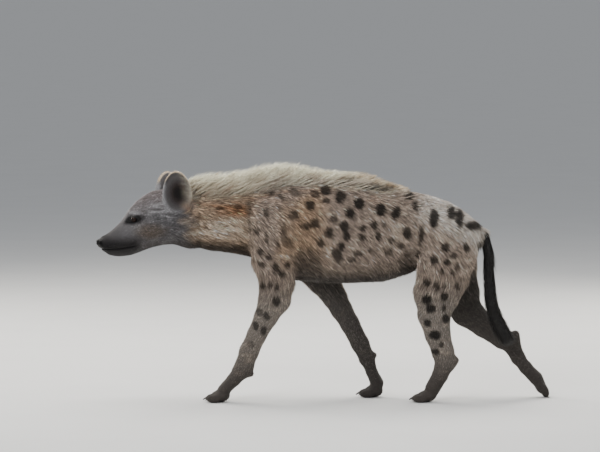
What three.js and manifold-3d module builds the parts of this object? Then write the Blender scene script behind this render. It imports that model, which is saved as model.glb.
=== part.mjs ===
// Spotted hyena, life size, walking with its head low and turned a little to its left.
// Millimetres, +Z up. The animal faces -X and its left side is -Y. Its paws rest on z = 0.
import * as THREE from "three";
import { mergeVertices } from "three/addons/utils/BufferGeometryUtils.js";
import Module from "manifold-3d";

const wasm = await Module();
wasm.setup();

// The gap between neighbouring nodes.
const GAP = 0.3;

// The head is turned about the pivot at the back of the skull. `a` runs back from the tip of the
// nose, `b` runs sideways and is positive on the left, and heights are those of the whole animal.
const HEAD_LENGTH = 314;
const HEAD_TURN = THREE.MathUtils.degToRad(13.4);
const HEAD_PIVOT_X = -490;

// Back line, belly line and half width of neck and trunk, then how much the section narrows
// towards its top and its bottom.
const TRUNK = [
  [-560, 690, 590, 40, 0, 0],
  [-510, 728, 556, 74, 0.1, 0.1],
  [-440, 737, 533, 84, 0.12, 0.1],
  [-350, 740, 521, 93, 0.15, 0.1],
  [-270, 747, 505, 110, 0.2, 0.15],
  [-190, 765, 462, 128, 0.28, 0.25],
  [-90, 777, 420, 138, 0.25, 0.15],
  [60, 772, 411, 140, 0.2, 0.1],
  [190, 752, 417, 132, 0.2, 0.1],
  [290, 735, 444, 114, 0.2, 0.15],
  [365, 718, 486, 104, 0.2, 0.15],
  [440, 690, 505, 98, 0.2, 0.1],
  [505, 646, 520, 78, 0.1, 0.1],
  [548, 600, 540, 40, 0, 0],
];

// The same for the head, from the nose back.
const SKULL = [
  [0, 567, 550, 16, 0, 0],
  [8, 571, 542, 26, 0, 0.05],
  [20, 578, 531, 34, 0.05, 0.1],
  [48, 596, 512, 42, 0.12, 0.2],
  [81, 626, 507, 49, 0.24, 0.3],
  [112, 668, 509, 58, 0.32, 0.38],
  [142, 701, 517, 72, 0.36, 0.42],
  [171, 722, 528, 82, 0.36, 0.4],
  [205, 737, 538, 88, 0.3, 0.35],
  [245, 741, 545, 88, 0.25, 0.3],
  [285, 739, 547, 86, 0.2, 0.2],
  [320, 736, 544, 83, 0.15, 0.1],
  [355, 720, 558, 72, 0.1, 0.1],
  [390, 690, 590, 40, 0, 0],
];

// Limbs as stations [x, y, z, radius seen from the side, radius seen from the front].
// Each side of y is outwards, and the left limbs are mirrored to -y.
const FRONT_LEFT = [
  [-178, 78, 610, 84, 50],
  [-182, 84, 505, 76, 48],
  [-168, 88, 425, 66, 44],
  [-176, 87, 362, 58, 40],
  [-205, 85, 301, 43, 35],
  [-237, 83, 238, 36, 30],
  [-264, 82, 180, 36, 28],
  [-285, 81, 120, 35, 30],
  [-318, 80, 80, 23, 28],
  [-352, 79, 44, 21, 30],
];
const FRONT_RIGHT = [
  [-150, 78, 600, 84, 50],
  [-80, 84, 505, 76, 48],
  [-8, 88, 425, 64, 44],
  [33, 87, 356, 45, 39],
  [57, 85, 312, 40, 36],
  [88, 83, 260, 36, 31],
  [124, 81, 190, 34, 28],
  [148, 80, 140, 30, 30],
  [165, 79, 92, 20, 27],
  [184, 79, 50, 23, 30],
];
const HIND_LEFT = [
  [436, 60, 545, 100, 50],
  [412, 74, 450, 96, 48],
  [390, 82, 385, 84, 45],
  [380, 82, 308, 60, 42],
  [392, 80, 240, 47, 35],
  [410, 78, 180, 41, 29],
  [420, 76, 142, 39, 27],
  [402, 75, 96, 28, 25],
  [376, 75, 48, 26, 28],
];
const HIND_RIGHT = [
  [436, 60, 545, 100, 50],
  [438, 72, 450, 98, 48],
  [462, 78, 375, 84, 44],
  [500, 78, 305, 58, 41],
  [558, 78, 255, 44, 35],
  [625, 77, 207, 38, 29],
  [655, 76, 192, 36, 27],
  [680, 75, 143, 27, 25],
  [708, 75, 106, 23, 25],
  [743, 75, 70, 24, 29],
];

// Where the trunk takes each limb in, as the softness of the join.
const HAUNCH_SOFTNESS = 40;
const JOINT_SOFTNESS = 8;
const NAPE_SOFTNESS = 36;

// Paws: where the palm sits, how far the paw is turned down, and how long its toes are.
const PAWS = {
  front_left: { palm: [-364, -79, 21], pitch: 0, wide: 21, tall: 21, long: 46 },
  front_right: { palm: [174, 79, 21], pitch: 0, wide: 21, tall: 21, long: 48 },
  hind_left: { palm: [356, -75, 20], pitch: 0, wide: 19, tall: 20, long: 46 },
  hind_right: { palm: [759, 75, 45], pitch: 112, wide: 19, tall: 20, long: 44 },
};
const TOES = 4;
const CLAW_LENGTH = 17;
const CLAW_RADIUS = 4.5;

// The mane: its height above the back line, along the animal.
const MANE = [
  [-508, 0],
  [-478, 36],
  [-430, 52],
  [-320, 56],
  [-250, 68],
  [-180, 60],
  [-110, 44],
  [0, 28],
  [120, 24],
  [190, 16],
  [280, 7],
];
const MANE_CORE_HALF_WIDTH = 30;

// With the locks left out, the mane and the hair of the tail are one smooth form out to the tips.
const LOCKS_IN_FULL = true;
const MANE_CORE = LOCKS_IN_FULL ? 0.4 : 1;

// The tail: stations down the dock, [x, y, z, radius of the core, reach of the hair].
const TAIL = [
  [559, -2, 588, 14, 19],
  [567, -3, 545, 12, 19],
  [571, -4, 485, 11, 21],
  [575, -4, 425, 10, 23],
  [581, -4, 365, 10, 24],
  [592, -4, 310, 9, 24],
  [608, -4, 266, 7, 22],
  [625, -4, 230, 5, 17],
];
const TAIL_TIP = [650, -4, 184];

const EYE = { a: 126, b: 40, z: 639, radius: 12.5, lid: 3, slit: [11.5, 6.5], tilt: 10, ahead: 30 };
const EAR = {
  centre: [272, 79, 730],
  up: [-0.1, -0.04, 1],
  facing: [-0.34, 0.93, 0.02],
  outer: [54, 78, 24],
  cavity: [48, 71, 28],
  shift: 15,
  rightDrop: 9,
};

// The looks of the solids.
const FINISH = {
  head: [0x5a5557, 0.85],
  neck: [0xa8927c, 0.9],
  torso: [0x9a8676, 0.9],
  tail: [0x1c1a1a, 0.9],
  leg: [0x7f7973, 0.9],
  paw: [0x48433f, 0.85],
  ear: [0x3a3536, 0.9],
  eye: [0x120d0a, 0.15],
};

// Plain helpers.
const clamp = (value, low, high) => Math.min(Math.max(value, low), high);
const mix = (from, to, share) => from + (to - from) * share;

// A seeded draw between 0 and 1.
function draws(seed) {
  let state = seed >>> 0;
  return () => {
    state = (state + 0x6d2b79f5) >>> 0;
    let t = Math.imul(state ^ (state >>> 15), state | 1);
    t ^= t + Math.imul(t ^ (t >>> 7), t | 61);
    return ((t ^ (t >>> 14)) >>> 0) / 4294967296;
  };
}

// A smooth curve through one column of a table of knots, which never overshoots them.
function curveThrough(knots, column) {
  const at = knots.map((knot) => knot[0]);
  const value = knots.map((knot) => knot[column]);
  const last = at.length - 1;
  const rise = (i) => (value[i + 1] - value[i]) / (at[i + 1] - at[i]);
  const slope = at.map((_, i) => {
    if (i === 0) return rise(0);
    if (i === last) return rise(last - 1);
    const before = rise(i - 1);
    const after = rise(i);
    return before * after <= 0 ? 0 : (2 * before * after) / (before + after);
  });
  return (x) => {
    if (x <= at[0]) return value[0];
    if (x >= at[last]) return value[last];
    let i = 0;
    while (x > at[i + 1]) i += 1;
    const span = at[i + 1] - at[i];
    const t = (x - at[i]) / span;
    const u = 1 - t;
    return (
      u * u * (1 + 2 * t) * value[i] +
      t * t * (3 - 2 * t) * value[i + 1] +
      t * u * u * span * slope[i] -
      t * t * u * span * slope[i + 1]
    );
  };
}

// Shapes as fields: below 0 inside, above 0 outside, and near the surface about the distance.
function oval(u, v, halfU, halfV) {
  const p = u / halfU;
  const q = v / halfV;
  const near = Math.sqrt(p * p + q * q);
  const steep = Math.sqrt((p / halfU) ** 2 + (q / halfV) ** 2);
  return steep < 1e-9 ? -Math.min(halfU, halfV) : (near * (near - 1)) / steep;
}

function ellipsoid(u, v, w, radii) {
  const p = u / radii[0];
  const q = v / radii[1];
  const r = w / radii[2];
  const near = Math.sqrt(p * p + q * q + r * r);
  const steep = Math.sqrt((p / radii[0]) ** 2 + (q / radii[1]) ** 2 + (r / radii[2]) ** 2);
  return steep < 1e-9 ? -Math.min(...radii) : (near * (near - 1)) / steep;
}

function join(one, other, softness) {
  const overlap = Math.max(softness - Math.abs(one - other), 0) / softness;
  return Math.min(one, other) - (overlap * overlap * softness) / 4;
}

function carve(body, tool, softness) {
  return -join(-body, tool, softness);
}

// A horizontal body of changing section, from a table of knots.
function profileBody(knots) {
  const top = curveThrough(knots, 1);
  const bottom = curveThrough(knots, 2);
  const half = curveThrough(knots, 3);
  const upper = curveThrough(knots, 4);
  const lower = curveThrough(knots, 5);
  const first = knots[0][0];
  const last = knots[knots.length - 1][0];
  return (x, y, z) => {
    const s = clamp(x, first, last);
    const centre = (top(s) + bottom(s)) / 2;
    const tall = (top(s) - bottom(s)) / 2;
    const rise = clamp((z - centre) / tall, -1, 1);
    const pinch = rise > 0 ? upper(s) : lower(s);
    const wide = half(s) * (1 - pinch * rise * rise);
    const section = oval(y, z - centre, wide, tall);
    return s === x ? section : Math.hypot(Math.max(section, 0), x - s);
  };
}

// A limb through its stations, with an oval section.
function limbBody(stations, side) {
  const links = [];
  for (let i = 0; i + 1 < stations.length; i += 1) {
    const [x, y, z, deep, wide] = stations[i];
    const [x1, y1, z1, deep1, wide1] = stations[i + 1];
    const along = [x1 - x, side * (y1 - y), z1 - z];
    const square = along[0] ** 2 + along[1] ** 2 + along[2] ** 2;
    links.push({ from: [x, side * y, z], along, square, deep, deep1, wide, wide1 });
  }
  const reach = 70;
  const low = stations.reduce((z, s) => Math.min(z, s[2] - s[3] - reach), Infinity);
  const left = stations.reduce((x, s) => Math.min(x, s[0] - s[3] - reach), Infinity);
  const right = stations.reduce((x, s) => Math.max(x, s[0] + s[3] + reach), -Infinity);
  return (x, y, z) => {
    if (z < low || x < left || x > right || y * side < -reach) return reach;
    let distance = 1000;
    for (const link of links) {
      const dx = x - link.from[0];
      const dy = y - link.from[1];
      const dz = z - link.from[2];
      const dot = dx * link.along[0] + dy * link.along[1] + dz * link.along[2];
      const t = clamp(dot / link.square, 0, 1);
      const across = dy - t * link.along[1];
      const inPlane = Math.sqrt((dx - t * link.along[0]) ** 2 + (dz - t * link.along[2]) ** 2);
      const wide = mix(link.wide, link.wide1, t);
      const deep = mix(link.deep, link.deep1, t);
      distance = join(distance, oval(across, inPlane, wide, deep), JOINT_SOFTNESS);
    }
    return distance;
  };
}

// A soft dent (depth above 0) or swelling (below 0), the same on both sides of the head.
function swell(a, b, z, mark) {
  const u = (a - mark[0]) / mark[3];
  const v = (Math.abs(b) - mark[1]) / mark[4];
  const w = (z - mark[2]) / mark[5];
  const square = u * u + v * v + w * w;
  return square > 9 ? 0 : mark[6] * Math.exp(-square);
}

// The head's own coordinates, and the way back.
const TURN_COS = Math.cos(HEAD_TURN);
const TURN_SIN = Math.sin(HEAD_TURN);

function toHead(x, y) {
  const dx = x - HEAD_PIVOT_X;
  return [HEAD_LENGTH + dx * TURN_COS + y * TURN_SIN, dx * TURN_SIN - y * TURN_COS];
}

function fromHead([a, b, z]) {
  const ahead = HEAD_LENGTH - a;
  return [
    HEAD_PIVOT_X - ahead * TURN_COS + b * TURN_SIN,
    -ahead * TURN_SIN - b * TURN_COS,
    z,
  ];
}

// Marks on the head: [a, b, z, reach along, reach across, reach up, depth].
const HEAD_MARKS = [
  [107, 50, 634, 22, 18, 20, 5],
  [135, 40, 668, 20, 16, 9, -7],
  [160, 82, 606, 34, 26, 20, -6],
  [215, 86, 650, 40, 30, 26, 7],
  [200, 78, 562, 44, 30, 24, -5],
  [96, 0, 650, 26, 12, 16, 3],
  [66, 40, 560, 26, 20, 16, -4],
  [8, 14, 557, 7, 6, 6, 9],
  [2, 0, 552, 9, 3, 12, 3],
];
const MOUTH_END = 142;
const MOUTH_DEPTH = 4.5;
const LIP_DEPTH = 0.8;

// The height of the line of the mouth, rising to its corner under the eye.
function mouthLine(a) {
  return 536 + 0.02 * a + 0.0012 * Math.max(a - 45, 0) ** 2;
}

function mouth(a, z) {
  const fade = clamp((MOUTH_END - a) / 16, 0, 1);
  const off = z - mouthLine(a);
  const groove = MOUTH_DEPTH * Math.exp(-((off / 3.6) ** 2));
  const lips = LIP_DEPTH * Math.exp(-(((Math.abs(off) - 8) / 5) ** 2));
  return fade * (groove - lips);
}

const skull = profileBody(SKULL);
const trunk = profileBody(TRUNK);
const maneHeight = curveThrough(MANE, 1);
const backLine = curveThrough(TRUNK, 1);

// Lids: a low ball over each eye.
function lids(body, a, b, z) {
  const off = Math.hypot(a - EYE.a, Math.abs(b) - EYE.b, z - EYE.z);
  return off > 40 ? body : join(body, off - EYE.radius - EYE.lid, 7);
}

// The cup of an ear in its own directions: across, up and along its opening.
const EAR_UP = new THREE.Vector3(...EAR.up).normalize();
const EAR_FACING = new THREE.Vector3(...EAR.facing).projectOnPlane(EAR_UP).normalize();
const EAR_ACROSS = new THREE.Vector3().crossVectors(EAR_UP, EAR_FACING);
const EAR_NARROWING = 0.0016;

// The right ear is held lower than the left one.
const earDrop = (side) => (side < 0 ? EAR.rightDrop : 0);

function earFrame(a, b, z) {
  const offset = new THREE.Vector3(a, b, z).sub(new THREE.Vector3(...EAR.centre));
  const v = offset.dot(EAR_UP);
  return [offset.dot(EAR_ACROSS) * (1 + EAR_NARROWING * v), v, offset.dot(EAR_FACING)];
}

function earCavity(a, b, z) {
  const [u, v, w] = earFrame(a, b, z);
  return ellipsoid(u, v, w - EAR.shift, EAR.cavity);
}

function headField(x, y, z) {
  const [a, b] = toHead(x, y);
  let distance = skull(a, b, z);
  if (a < 270) {
    for (const mark of HEAD_MARKS) distance += swell(a, b, z, mark);
    if (a < MOUTH_END) distance += mouth(a, z);
    distance = lids(distance, a, b, z);
  }
  if (a > 200 && z > 630) {
    distance = carve(distance, earCavity(a, Math.abs(b), z + earDrop(b)), 4);
  }
  return distance;
}

// The core of the mane, a low ridge on neck and back.
function maneCore(x, y, z) {
  const tall = maneHeight(x) * MANE_CORE + 30;
  const foot = backLine(x) - 30;
  if (x < MANE[0][0] || x > MANE[MANE.length - 1][0] || z < foot) return 1000;
  return oval(y, z - foot, MANE_CORE_HALF_WIDTH, tall);
}

const LIMBS = {
  front_left: limbBody(FRONT_LEFT, -1),
  front_right: limbBody(FRONT_RIGHT, 1),
  hind_left: limbBody(HIND_LEFT, -1),
  hind_right: limbBody(HIND_RIGHT, 1),
};
const LIMB_LIST = Object.values(LIMBS);
const LIMB_TOP = 720;

// The point of a hock or a carpal pad, which stands out behind the joint.
const KNOBS = [
  [447, -76, 146, 22, 15, 17],
  [672, 76, 219, 17, 14, 22],
  [-258, -81, 98, 13, 11, 10],
  [174, 80, 150, 11, 10, 9],
];

// The whole animal without ears, paws, tail and locks.
function bodyField(x, y, z) {
  let distance = 1000;
  if (x > -600) distance = trunk(x, y, z);
  distance = join(distance, maneCore(x, y, z), 16);
  if (x < -380) distance = join(distance, headField(x, y, z), NAPE_SOFTNESS);
  if (z < LIMB_TOP && x > -460) {
    for (const limb of LIMB_LIST) distance = join(distance, limb(x, y, z), HAUNCH_SOFTNESS);
  }
  if (z < 260) {
    for (const knob of KNOBS) {
      const ball = ellipsoid(x - knob[0], y - knob[1], z - knob[2], knob.slice(3));
      distance = join(distance, ball, 14);
    }
  }
  return distance;
}

// The root of the tail, a stub on the rump that the tail continues.
const TAIL_ROOT = TAIL[0];

function torsoField(x, y, z) {
  let distance = bodyField(x, y, z);
  if (x > 480 && z > 500) {
    const t = clamp((x - 520) / (TAIL_ROOT[0] - 520), 0, 1);
    const centre = [mix(520, TAIL_ROOT[0], t), 0, mix(606, TAIL_ROOT[2], t)];
    const stub = Math.hypot(x - centre[0], y, z - centre[2]) - mix(26, TAIL_ROOT[3] + 3, t);
    distance = join(distance, stub, 16);
  }
  return distance;
}

// Paw: palm, toes side by side, and a pad under them.
function pawFrame(paw) {
  const pitch = THREE.MathUtils.degToRad(paw.pitch);
  const ahead = [-Math.cos(pitch), -Math.sin(pitch)];
  const above = [-Math.sin(pitch), Math.cos(pitch)];
  return { ahead, above };
}

function pawField(paw, limb) {
  const { ahead, above } = pawFrame(paw);
  return (x, y, z) => {
    const dx = x - paw.palm[0];
    const dz = z - paw.palm[2];
    const f = dx * ahead[0] + dz * ahead[1];
    const u = dx * above[0] + dz * above[1];
    const s = y - paw.palm[1];
    let distance = ellipsoid(f - 2, s, u, [34, paw.wide + 14, paw.tall + 1]);
    for (let toe = 0; toe < TOES; toe += 1) {
      const side = toe - (TOES - 1) / 2;
      const middle = Math.abs(side) < 1 ? 1 : 0.82;
      const tip = paw.long * middle;
      const centre = side * paw.wide * 0.92;
      const toeField = ellipsoid(f - tip * 0.62, s - centre, u + 7, [25, 10.5, 15.5]);
      distance = join(distance, toeField, 5);
    }
    return join(distance, limb(x, y, z), 16);
  };
}

// Polygons of a field: each cell of a grid is split in six tetrahedra, which always gives a
// closed surface.
const CORNERS = [
  [0, 0, 0], [1, 0, 0], [0, 1, 0], [1, 1, 0], [0, 0, 1], [1, 0, 1], [0, 1, 1], [1, 1, 1],
];
const TETRAHEDRA = [
  [0, 1, 3, 7], [0, 3, 2, 7], [0, 2, 6, 7], [0, 6, 4, 7], [0, 4, 5, 7], [0, 5, 1, 7],
];

function polygonize(field, low, high, cell) {
  const count = low.map((v, i) => Math.ceil((high[i] - v) / cell) + 1);
  const [nx, ny, nz] = count;
  const id = (i, j, k) => i + nx * (j + ny * k);
  const values = new Float32Array(nx * ny * nz);
  for (let k = 0; k < nz; k += 1) {
    for (let j = 0; j < ny; j += 1) {
      for (let i = 0; i < nx; i += 1) {
        const edge = i === 0 || j === 0 || k === 0 || i === nx - 1 || j === ny - 1 || k === nz - 1;
        const at = field(low[0] + i * cell, low[1] + j * cell, low[2] + k * cell);
        values[id(i, j, k)] = edge ? Math.max(at, 0.2 * cell) : at || 1e-6;
      }
    }
  }
  const points = [];
  const faces = [];
  const known = new Map();
  const place = (n) => {
    const i = n % nx;
    const j = Math.floor(n / nx) % ny;
    const k = Math.floor(n / (nx * ny));
    return [low[0] + i * cell, low[1] + j * cell, low[2] + k * cell];
  };
  const crossing = (n, m) => {
    const key = n < m ? n * 4194304 + (m - n) : m * 4194304 + (n - m);
    let found = known.get(key);
    if (found === undefined) {
      const t = clamp(values[n] / (values[n] - values[m]), 0.06, 0.94);
      const p = place(n);
      const q = place(m);
      found = points.length / 3;
      points.push(mix(p[0], q[0], t), mix(p[1], q[1], t), mix(p[2], q[2], t));
      known.set(key, found);
    }
    return found;
  };
  const step = CORNERS.map(([i, j, k]) => id(i, j, k));
  for (let k = 0; k < nz - 1; k += 1) {
    for (let j = 0; j < ny - 1; j += 1) {
      for (let i = 0; i < nx - 1; i += 1) {
        const base = id(i, j, k);
        let inside = 0;
        for (let c = 0; c < 8; c += 1) inside += values[base + step[c]] < 0 ? 1 : 0;
        if (inside === 0 || inside === 8) continue;
        for (const tetra of TETRAHEDRA) splitTetra(tetra.map((c) => base + step[c]));
      }
    }
  }
  function splitTetra(nodes) {
    const within = nodes.filter((n) => values[n] < 0);
    const without = nodes.filter((n) => values[n] >= 0);
    if (within.length === 0 || without.length === 0) return;
    let ring;
    if (within.length === 2) {
      const [p, q] = within;
      const [r, s] = without;
      ring = [crossing(p, r), crossing(q, r), crossing(q, s), crossing(p, s)];
    } else {
      const lone = within.length === 1 ? within[0] : without[0];
      ring = nodes.filter((n) => n !== lone).map((n) => crossing(lone, n));
    }
    const [p, q, r] = ring.map((n) => points.slice(3 * n, 3 * n + 3));
    const far = ring.length === 4 ? points.slice(3 * ring[3], 3 * ring[3] + 3) : q;
    const first = [r[0] - p[0], r[1] - p[1], r[2] - p[2]];
    const second = [far[0] - q[0], far[1] - q[1], far[2] - q[2]];
    const from = place(within[0]);
    const to = place(without[0]);
    const side = ring.length === 4 ? second : [p[0] - q[0], p[1] - q[1], p[2] - q[2]];
    const normal = [
      first[1] * side[2] - first[2] * side[1],
      first[2] * side[0] - first[0] * side[2],
      first[0] * side[1] - first[1] * side[0],
    ];
    const out = normal[0] * (to[0] - from[0]) + normal[1] * (to[1] - from[1]) +
      normal[2] * (to[2] - from[2]);
    if (out < 0) ring.reverse();
    for (let n = 2; n < ring.length; n += 1) faces.push(ring[0], ring[n - 1], ring[n]);
  }
  return { points, faces };
}

// Fewer triangles on the same surface: edges are closed up in the order of how little that moves
// it, and never where a fold or a pinch would come of it.
const LEAST_TURN = 0.35;
const LEAST_AREA = 0.4;
const distanceOf = (p, q) => Math.hypot(p[0] - q[0], p[1] - q[1], p[2] - q[2]);

function thin({ points, faces }, target) {
  const vertexCount = points.length / 3;
  const faceCount = faces.length / 3;
  const p = Float64Array.from(points);
  const f = Int32Array.from(faces);
  const quadric = new Float64Array(10 * vertexCount);
  const around = Array.from({ length: vertexCount }, () => []);
  const version = new Int32Array(vertexCount);
  const alive = new Uint8Array(faceCount).fill(1);
  const normalOf = (i, j, k) => {
    const ax = p[j] - p[i], ay = p[j + 1] - p[i + 1], az = p[j + 2] - p[i + 2];
    const bx = p[k] - p[i], by = p[k + 1] - p[i + 1], bz = p[k + 2] - p[i + 2];
    return [ay * bz - az * by, az * bx - ax * bz, ax * by - ay * bx];
  };
  for (let n = 0; n < faceCount; n += 1) {
    const [i, j, k] = [f[3 * n], f[3 * n + 1], f[3 * n + 2]];
    const normal = normalOf(3 * i, 3 * j, 3 * k);
    const size = Math.hypot(...normal) || 1e-12;
    const [nx, ny, nz] = normal.map((v) => v / size);
    const d = -(nx * p[3 * i] + ny * p[3 * i + 1] + nz * p[3 * i + 2]);
    const terms = [nx * nx, nx * ny, nx * nz, nx * d, ny * ny, ny * nz, ny * d, nz * nz, nz * d,
      d * d];
    for (const v of [i, j, k]) {
      around[v].push(n);
      for (let t = 0; t < 10; t += 1) quadric[10 * v + t] += terms[t] * size;
    }
  }
  const heap = [];
  const push = (item) => {
    heap.push(item);
    let i = heap.length - 1;
    while (i > 0) {
      const up = (i - 1) >> 1;
      if (heap[up].cost <= heap[i].cost) break;
      [heap[up], heap[i]] = [heap[i], heap[up]];
      i = up;
    }
  };
  const pop = () => {
    const first = heap[0];
    const last = heap.pop();
    if (heap.length > 0) {
      heap[0] = last;
      let i = 0;
      for (;;) {
        let least = i;
        for (const c of [2 * i + 1, 2 * i + 2]) {
          if (c < heap.length && heap[c].cost < heap[least].cost) least = c;
        }
        if (least === i) break;
        [heap[least], heap[i]] = [heap[i], heap[least]];
        i = least;
      }
    }
    return first;
  };
  const cost = (q, x, y, z) =>
    q[0] * x * x + 2 * q[1] * x * y + 2 * q[2] * x * z + 2 * q[3] * x + q[4] * y * y +
    2 * q[5] * y * z + 2 * q[6] * y + q[7] * z * z + 2 * q[8] * z + q[9];
  const offer = (v, w) => {
    const q = [];
    for (let t = 0; t < 10; t += 1) q.push(quadric[10 * v + t] + quadric[10 * w + t]);
    const c00 = q[4] * q[7] - q[5] * q[5];
    const c01 = q[2] * q[5] - q[1] * q[7];
    const c02 = q[1] * q[5] - q[2] * q[4];
    const det = q[0] * c00 + q[1] * c01 + q[2] * c02;
    const a = [p[3 * v], p[3 * v + 1], p[3 * v + 2]];
    const b = [p[3 * w], p[3 * w + 1], p[3 * w + 2]];
    const middle = a.map((value, i) => (value + b[i]) / 2);
    const choices = [middle, a, b];
    const size = q[0] + q[4] + q[7];
    if (Math.abs(det) > 1e-5 * size ** 3) {
      const c11 = q[0] * q[7] - q[2] * q[2];
      const c12 = q[1] * q[2] - q[0] * q[5];
      const c22 = q[0] * q[4] - q[1] * q[1];
      const best = [
        -(c00 * q[3] + c01 * q[6] + c02 * q[8]) / det,
        -(c01 * q[3] + c11 * q[6] + c12 * q[8]) / det,
        -(c02 * q[3] + c12 * q[6] + c22 * q[8]) / det,
      ];
      if (distanceOf(best, middle) < 1.5 * distanceOf(a, b)) choices.push(best);
    }
    let least = null;
    for (const at of choices) {
      const value = cost(q, ...at);
      if (least === null || value < least.cost) least = { cost: value, at };
    }
    push({ cost: Math.max(least.cost, 0) + 1e-4 * distanceOf(a, b), at: least.at, v, w,
      stamp: version[v] + version[w] });
  };
  for (let n = 0; n < faceCount; n += 1) {
    for (const [i, j] of [[0, 1], [1, 2], [2, 0]]) {
      if (f[3 * n + i] < f[3 * n + j]) offer(f[3 * n + i], f[3 * n + j]);
    }
  }
  const ringOf = (v) => {
    const ring = new Set();
    for (const n of around[v]) {
      for (let t = 0; t < 3; t += 1) if (f[3 * n + t] !== v) ring.add(f[3 * n + t]);
    }
    return ring;
  };
  const folds = (v, other, at) => {
    for (const n of around[v]) {
      const corners = [f[3 * n], f[3 * n + 1], f[3 * n + 2]];
      if (corners.includes(other)) continue;
      const before = normalOf(3 * corners[0], 3 * corners[1], 3 * corners[2]);
      const keep = [p[3 * v], p[3 * v + 1], p[3 * v + 2]];
      [p[3 * v], p[3 * v + 1], p[3 * v + 2]] = at;
      const after = normalOf(3 * corners[0], 3 * corners[1], 3 * corners[2]);
      [p[3 * v], p[3 * v + 1], p[3 * v + 2]] = keep;
      const sizes = Math.hypot(...before) * Math.hypot(...after);
      const dot = before[0] * after[0] + before[1] * after[1] + before[2] * after[2];
      if (dot < LEAST_TURN * sizes || Math.hypot(...after) < LEAST_AREA) return true;
    }
    return false;
  };
  let left = faceCount;
  while (left > target && heap.length > 0) {
    const { at, v, w, stamp } = pop();
    if (version[v] + version[w] !== stamp || version[v] < 0 || version[w] < 0) continue;
    const shared = [...ringOf(v)].filter((n) => ringOf(w).has(n));
    if (shared.length !== 2 || folds(v, w, at) || folds(w, v, at)) continue;
    for (const n of around[w]) {
      const corners = [f[3 * n], f[3 * n + 1], f[3 * n + 2]];
      if (corners.includes(v)) {
        alive[n] = 0;
        left -= 1;
        for (const c of corners) if (c !== w) around[c] = around[c].filter((m) => m !== n);
      } else {
        for (let t = 0; t < 3; t += 1) if (f[3 * n + t] === w) f[3 * n + t] = v;
        around[v].push(n);
      }
    }
    around[w] = [];
    version[w] = -1e9;
    [p[3 * v], p[3 * v + 1], p[3 * v + 2]] = at;
    for (let t = 0; t < 10; t += 1) quadric[10 * v + t] += quadric[10 * w + t];
    const ring = ringOf(v);
    version[v] += 1;
    for (const n of ring) offer(Math.min(v, n), Math.max(v, n));
  }
  const index = new Map();
  const outPoints = [];
  const outFaces = [];
  for (let n = 0; n < faceCount; n += 1) {
    if (!alive[n]) continue;
    for (let t = 0; t < 3; t += 1) {
      const v = f[3 * n + t];
      if (!index.has(v)) {
        index.set(v, outPoints.length / 3);
        outPoints.push(p[3 * v], p[3 * v + 1], p[3 * v + 2]);
      }
      outFaces.push(index.get(v));
    }
  }
  return { points: outPoints, faces: outFaces };
}

// Solids: from a surface, from a three.js geometry, and back.
function solid({ points, faces }) {
  return new wasm.Manifold(new wasm.Mesh({
    numProp: 3,
    vertProperties: Float32Array.from(points),
    triVerts: Uint32Array.from(faces),
  }));
}

function solidOf(geometry) {
  const bare = geometry.clone();
  for (const name of Object.keys(bare.attributes)) {
    if (name !== "position") bare.deleteAttribute(name);
  }
  const merged = mergeVertices(bare, 1e-4);
  const points = [...merged.attributes.position.array];
  const faces = [...merged.index.array];
  let volume = 0;
  for (let n = 0; n < faces.length; n += 3) {
    const [p, q, r] = [0, 1, 2].map((t) => new THREE.Vector3().fromArray(points, 3 * faces[n + t]));
    volume += p.dot(q.cross(r));
  }
  return solid({ points, faces: volume < 0 ? faces.reverse() : faces });
}

function geometryOf(body) {
  const mesh = body.getMesh();
  const geometry = new THREE.BufferGeometry();
  geometry.setAttribute("position", new THREE.BufferAttribute(mesh.vertProperties, 3));
  geometry.setIndex(new THREE.BufferAttribute(mesh.triVerts, 1));
  return geometry;
}

// The largest closed surface of a body.
function largest(body) {
  const pieces = body.decompose();
  return pieces.reduce((best, piece) => (piece.volume() > best.volume() ? piece : best));
}

// A copy of a surface whose skin lies `by` further out.
function grown(body, by) {
  const mesh = body.getMesh();
  const points = mesh.vertProperties;
  const faces = mesh.triVerts;
  const normals = new Float64Array(points.length);
  for (let n = 0; n < faces.length; n += 3) {
    const [p, q, r] = [0, 1, 2].map((t) => new THREE.Vector3().fromArray(points, 3 * faces[n + t]));
    const normal = q.clone().sub(p).cross(r.clone().sub(p));
    for (let t = 0; t < 3; t += 1) {
      normals[3 * faces[n + t]] += normal.x;
      normals[3 * faces[n + t] + 1] += normal.y;
      normals[3 * faces[n + t] + 2] += normal.z;
    }
  }
  const moved = points.map((value, i) => {
    const at = i - (i % 3);
    const size = Math.hypot(normals[at], normals[at + 1], normals[at + 2]) || 1;
    return value + (by * normals[i]) / size;
  });
  return solid({ points: moved, faces });
}

// A solid with a straight outline in the animal's own plane, from one y to another. Each y may
// lean with height: [y at height 0, change for each millimetre up].
function slab(outline, nearSide, farSide) {
  const geometry = new THREE.ExtrudeGeometry(outline, { depth: 1, bevelEnabled: false,
    curveSegments: 10 });
  const at = geometry.attributes.position;
  for (let n = 0; n < at.count; n += 1) {
    const height = at.getY(n);
    const side = at.getZ(n) < 0.5 ? nearSide : farSide;
    at.setXYZ(n, at.getX(n), side[0] + side[1] * height, height);
  }
  return solidOf(geometry);
}

function outlineOf(points) {
  return new THREE.Shape(points.map(([x, z]) => new THREE.Vector2(x, z)));
}

// Everything on one side of a plane through a point, as a block of some size.
function beyondPlane({ point, direction, size = 1600 }, shift) {
  const normal = new THREE.Vector3(...direction).normalize();
  const block = new THREE.BoxGeometry(size, size, size);
  block.translate(0, 0, size / 2);
  const turn = new THREE.Quaternion();
  block.applyQuaternion(turn.setFromUnitVectors(new THREE.Vector3(0, 0, 1), normal));
  const start = new THREE.Vector3(...point).addScaledVector(normal, shift);
  block.translate(start.x, start.y, start.z);
  return solidOf(block);
}

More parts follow.
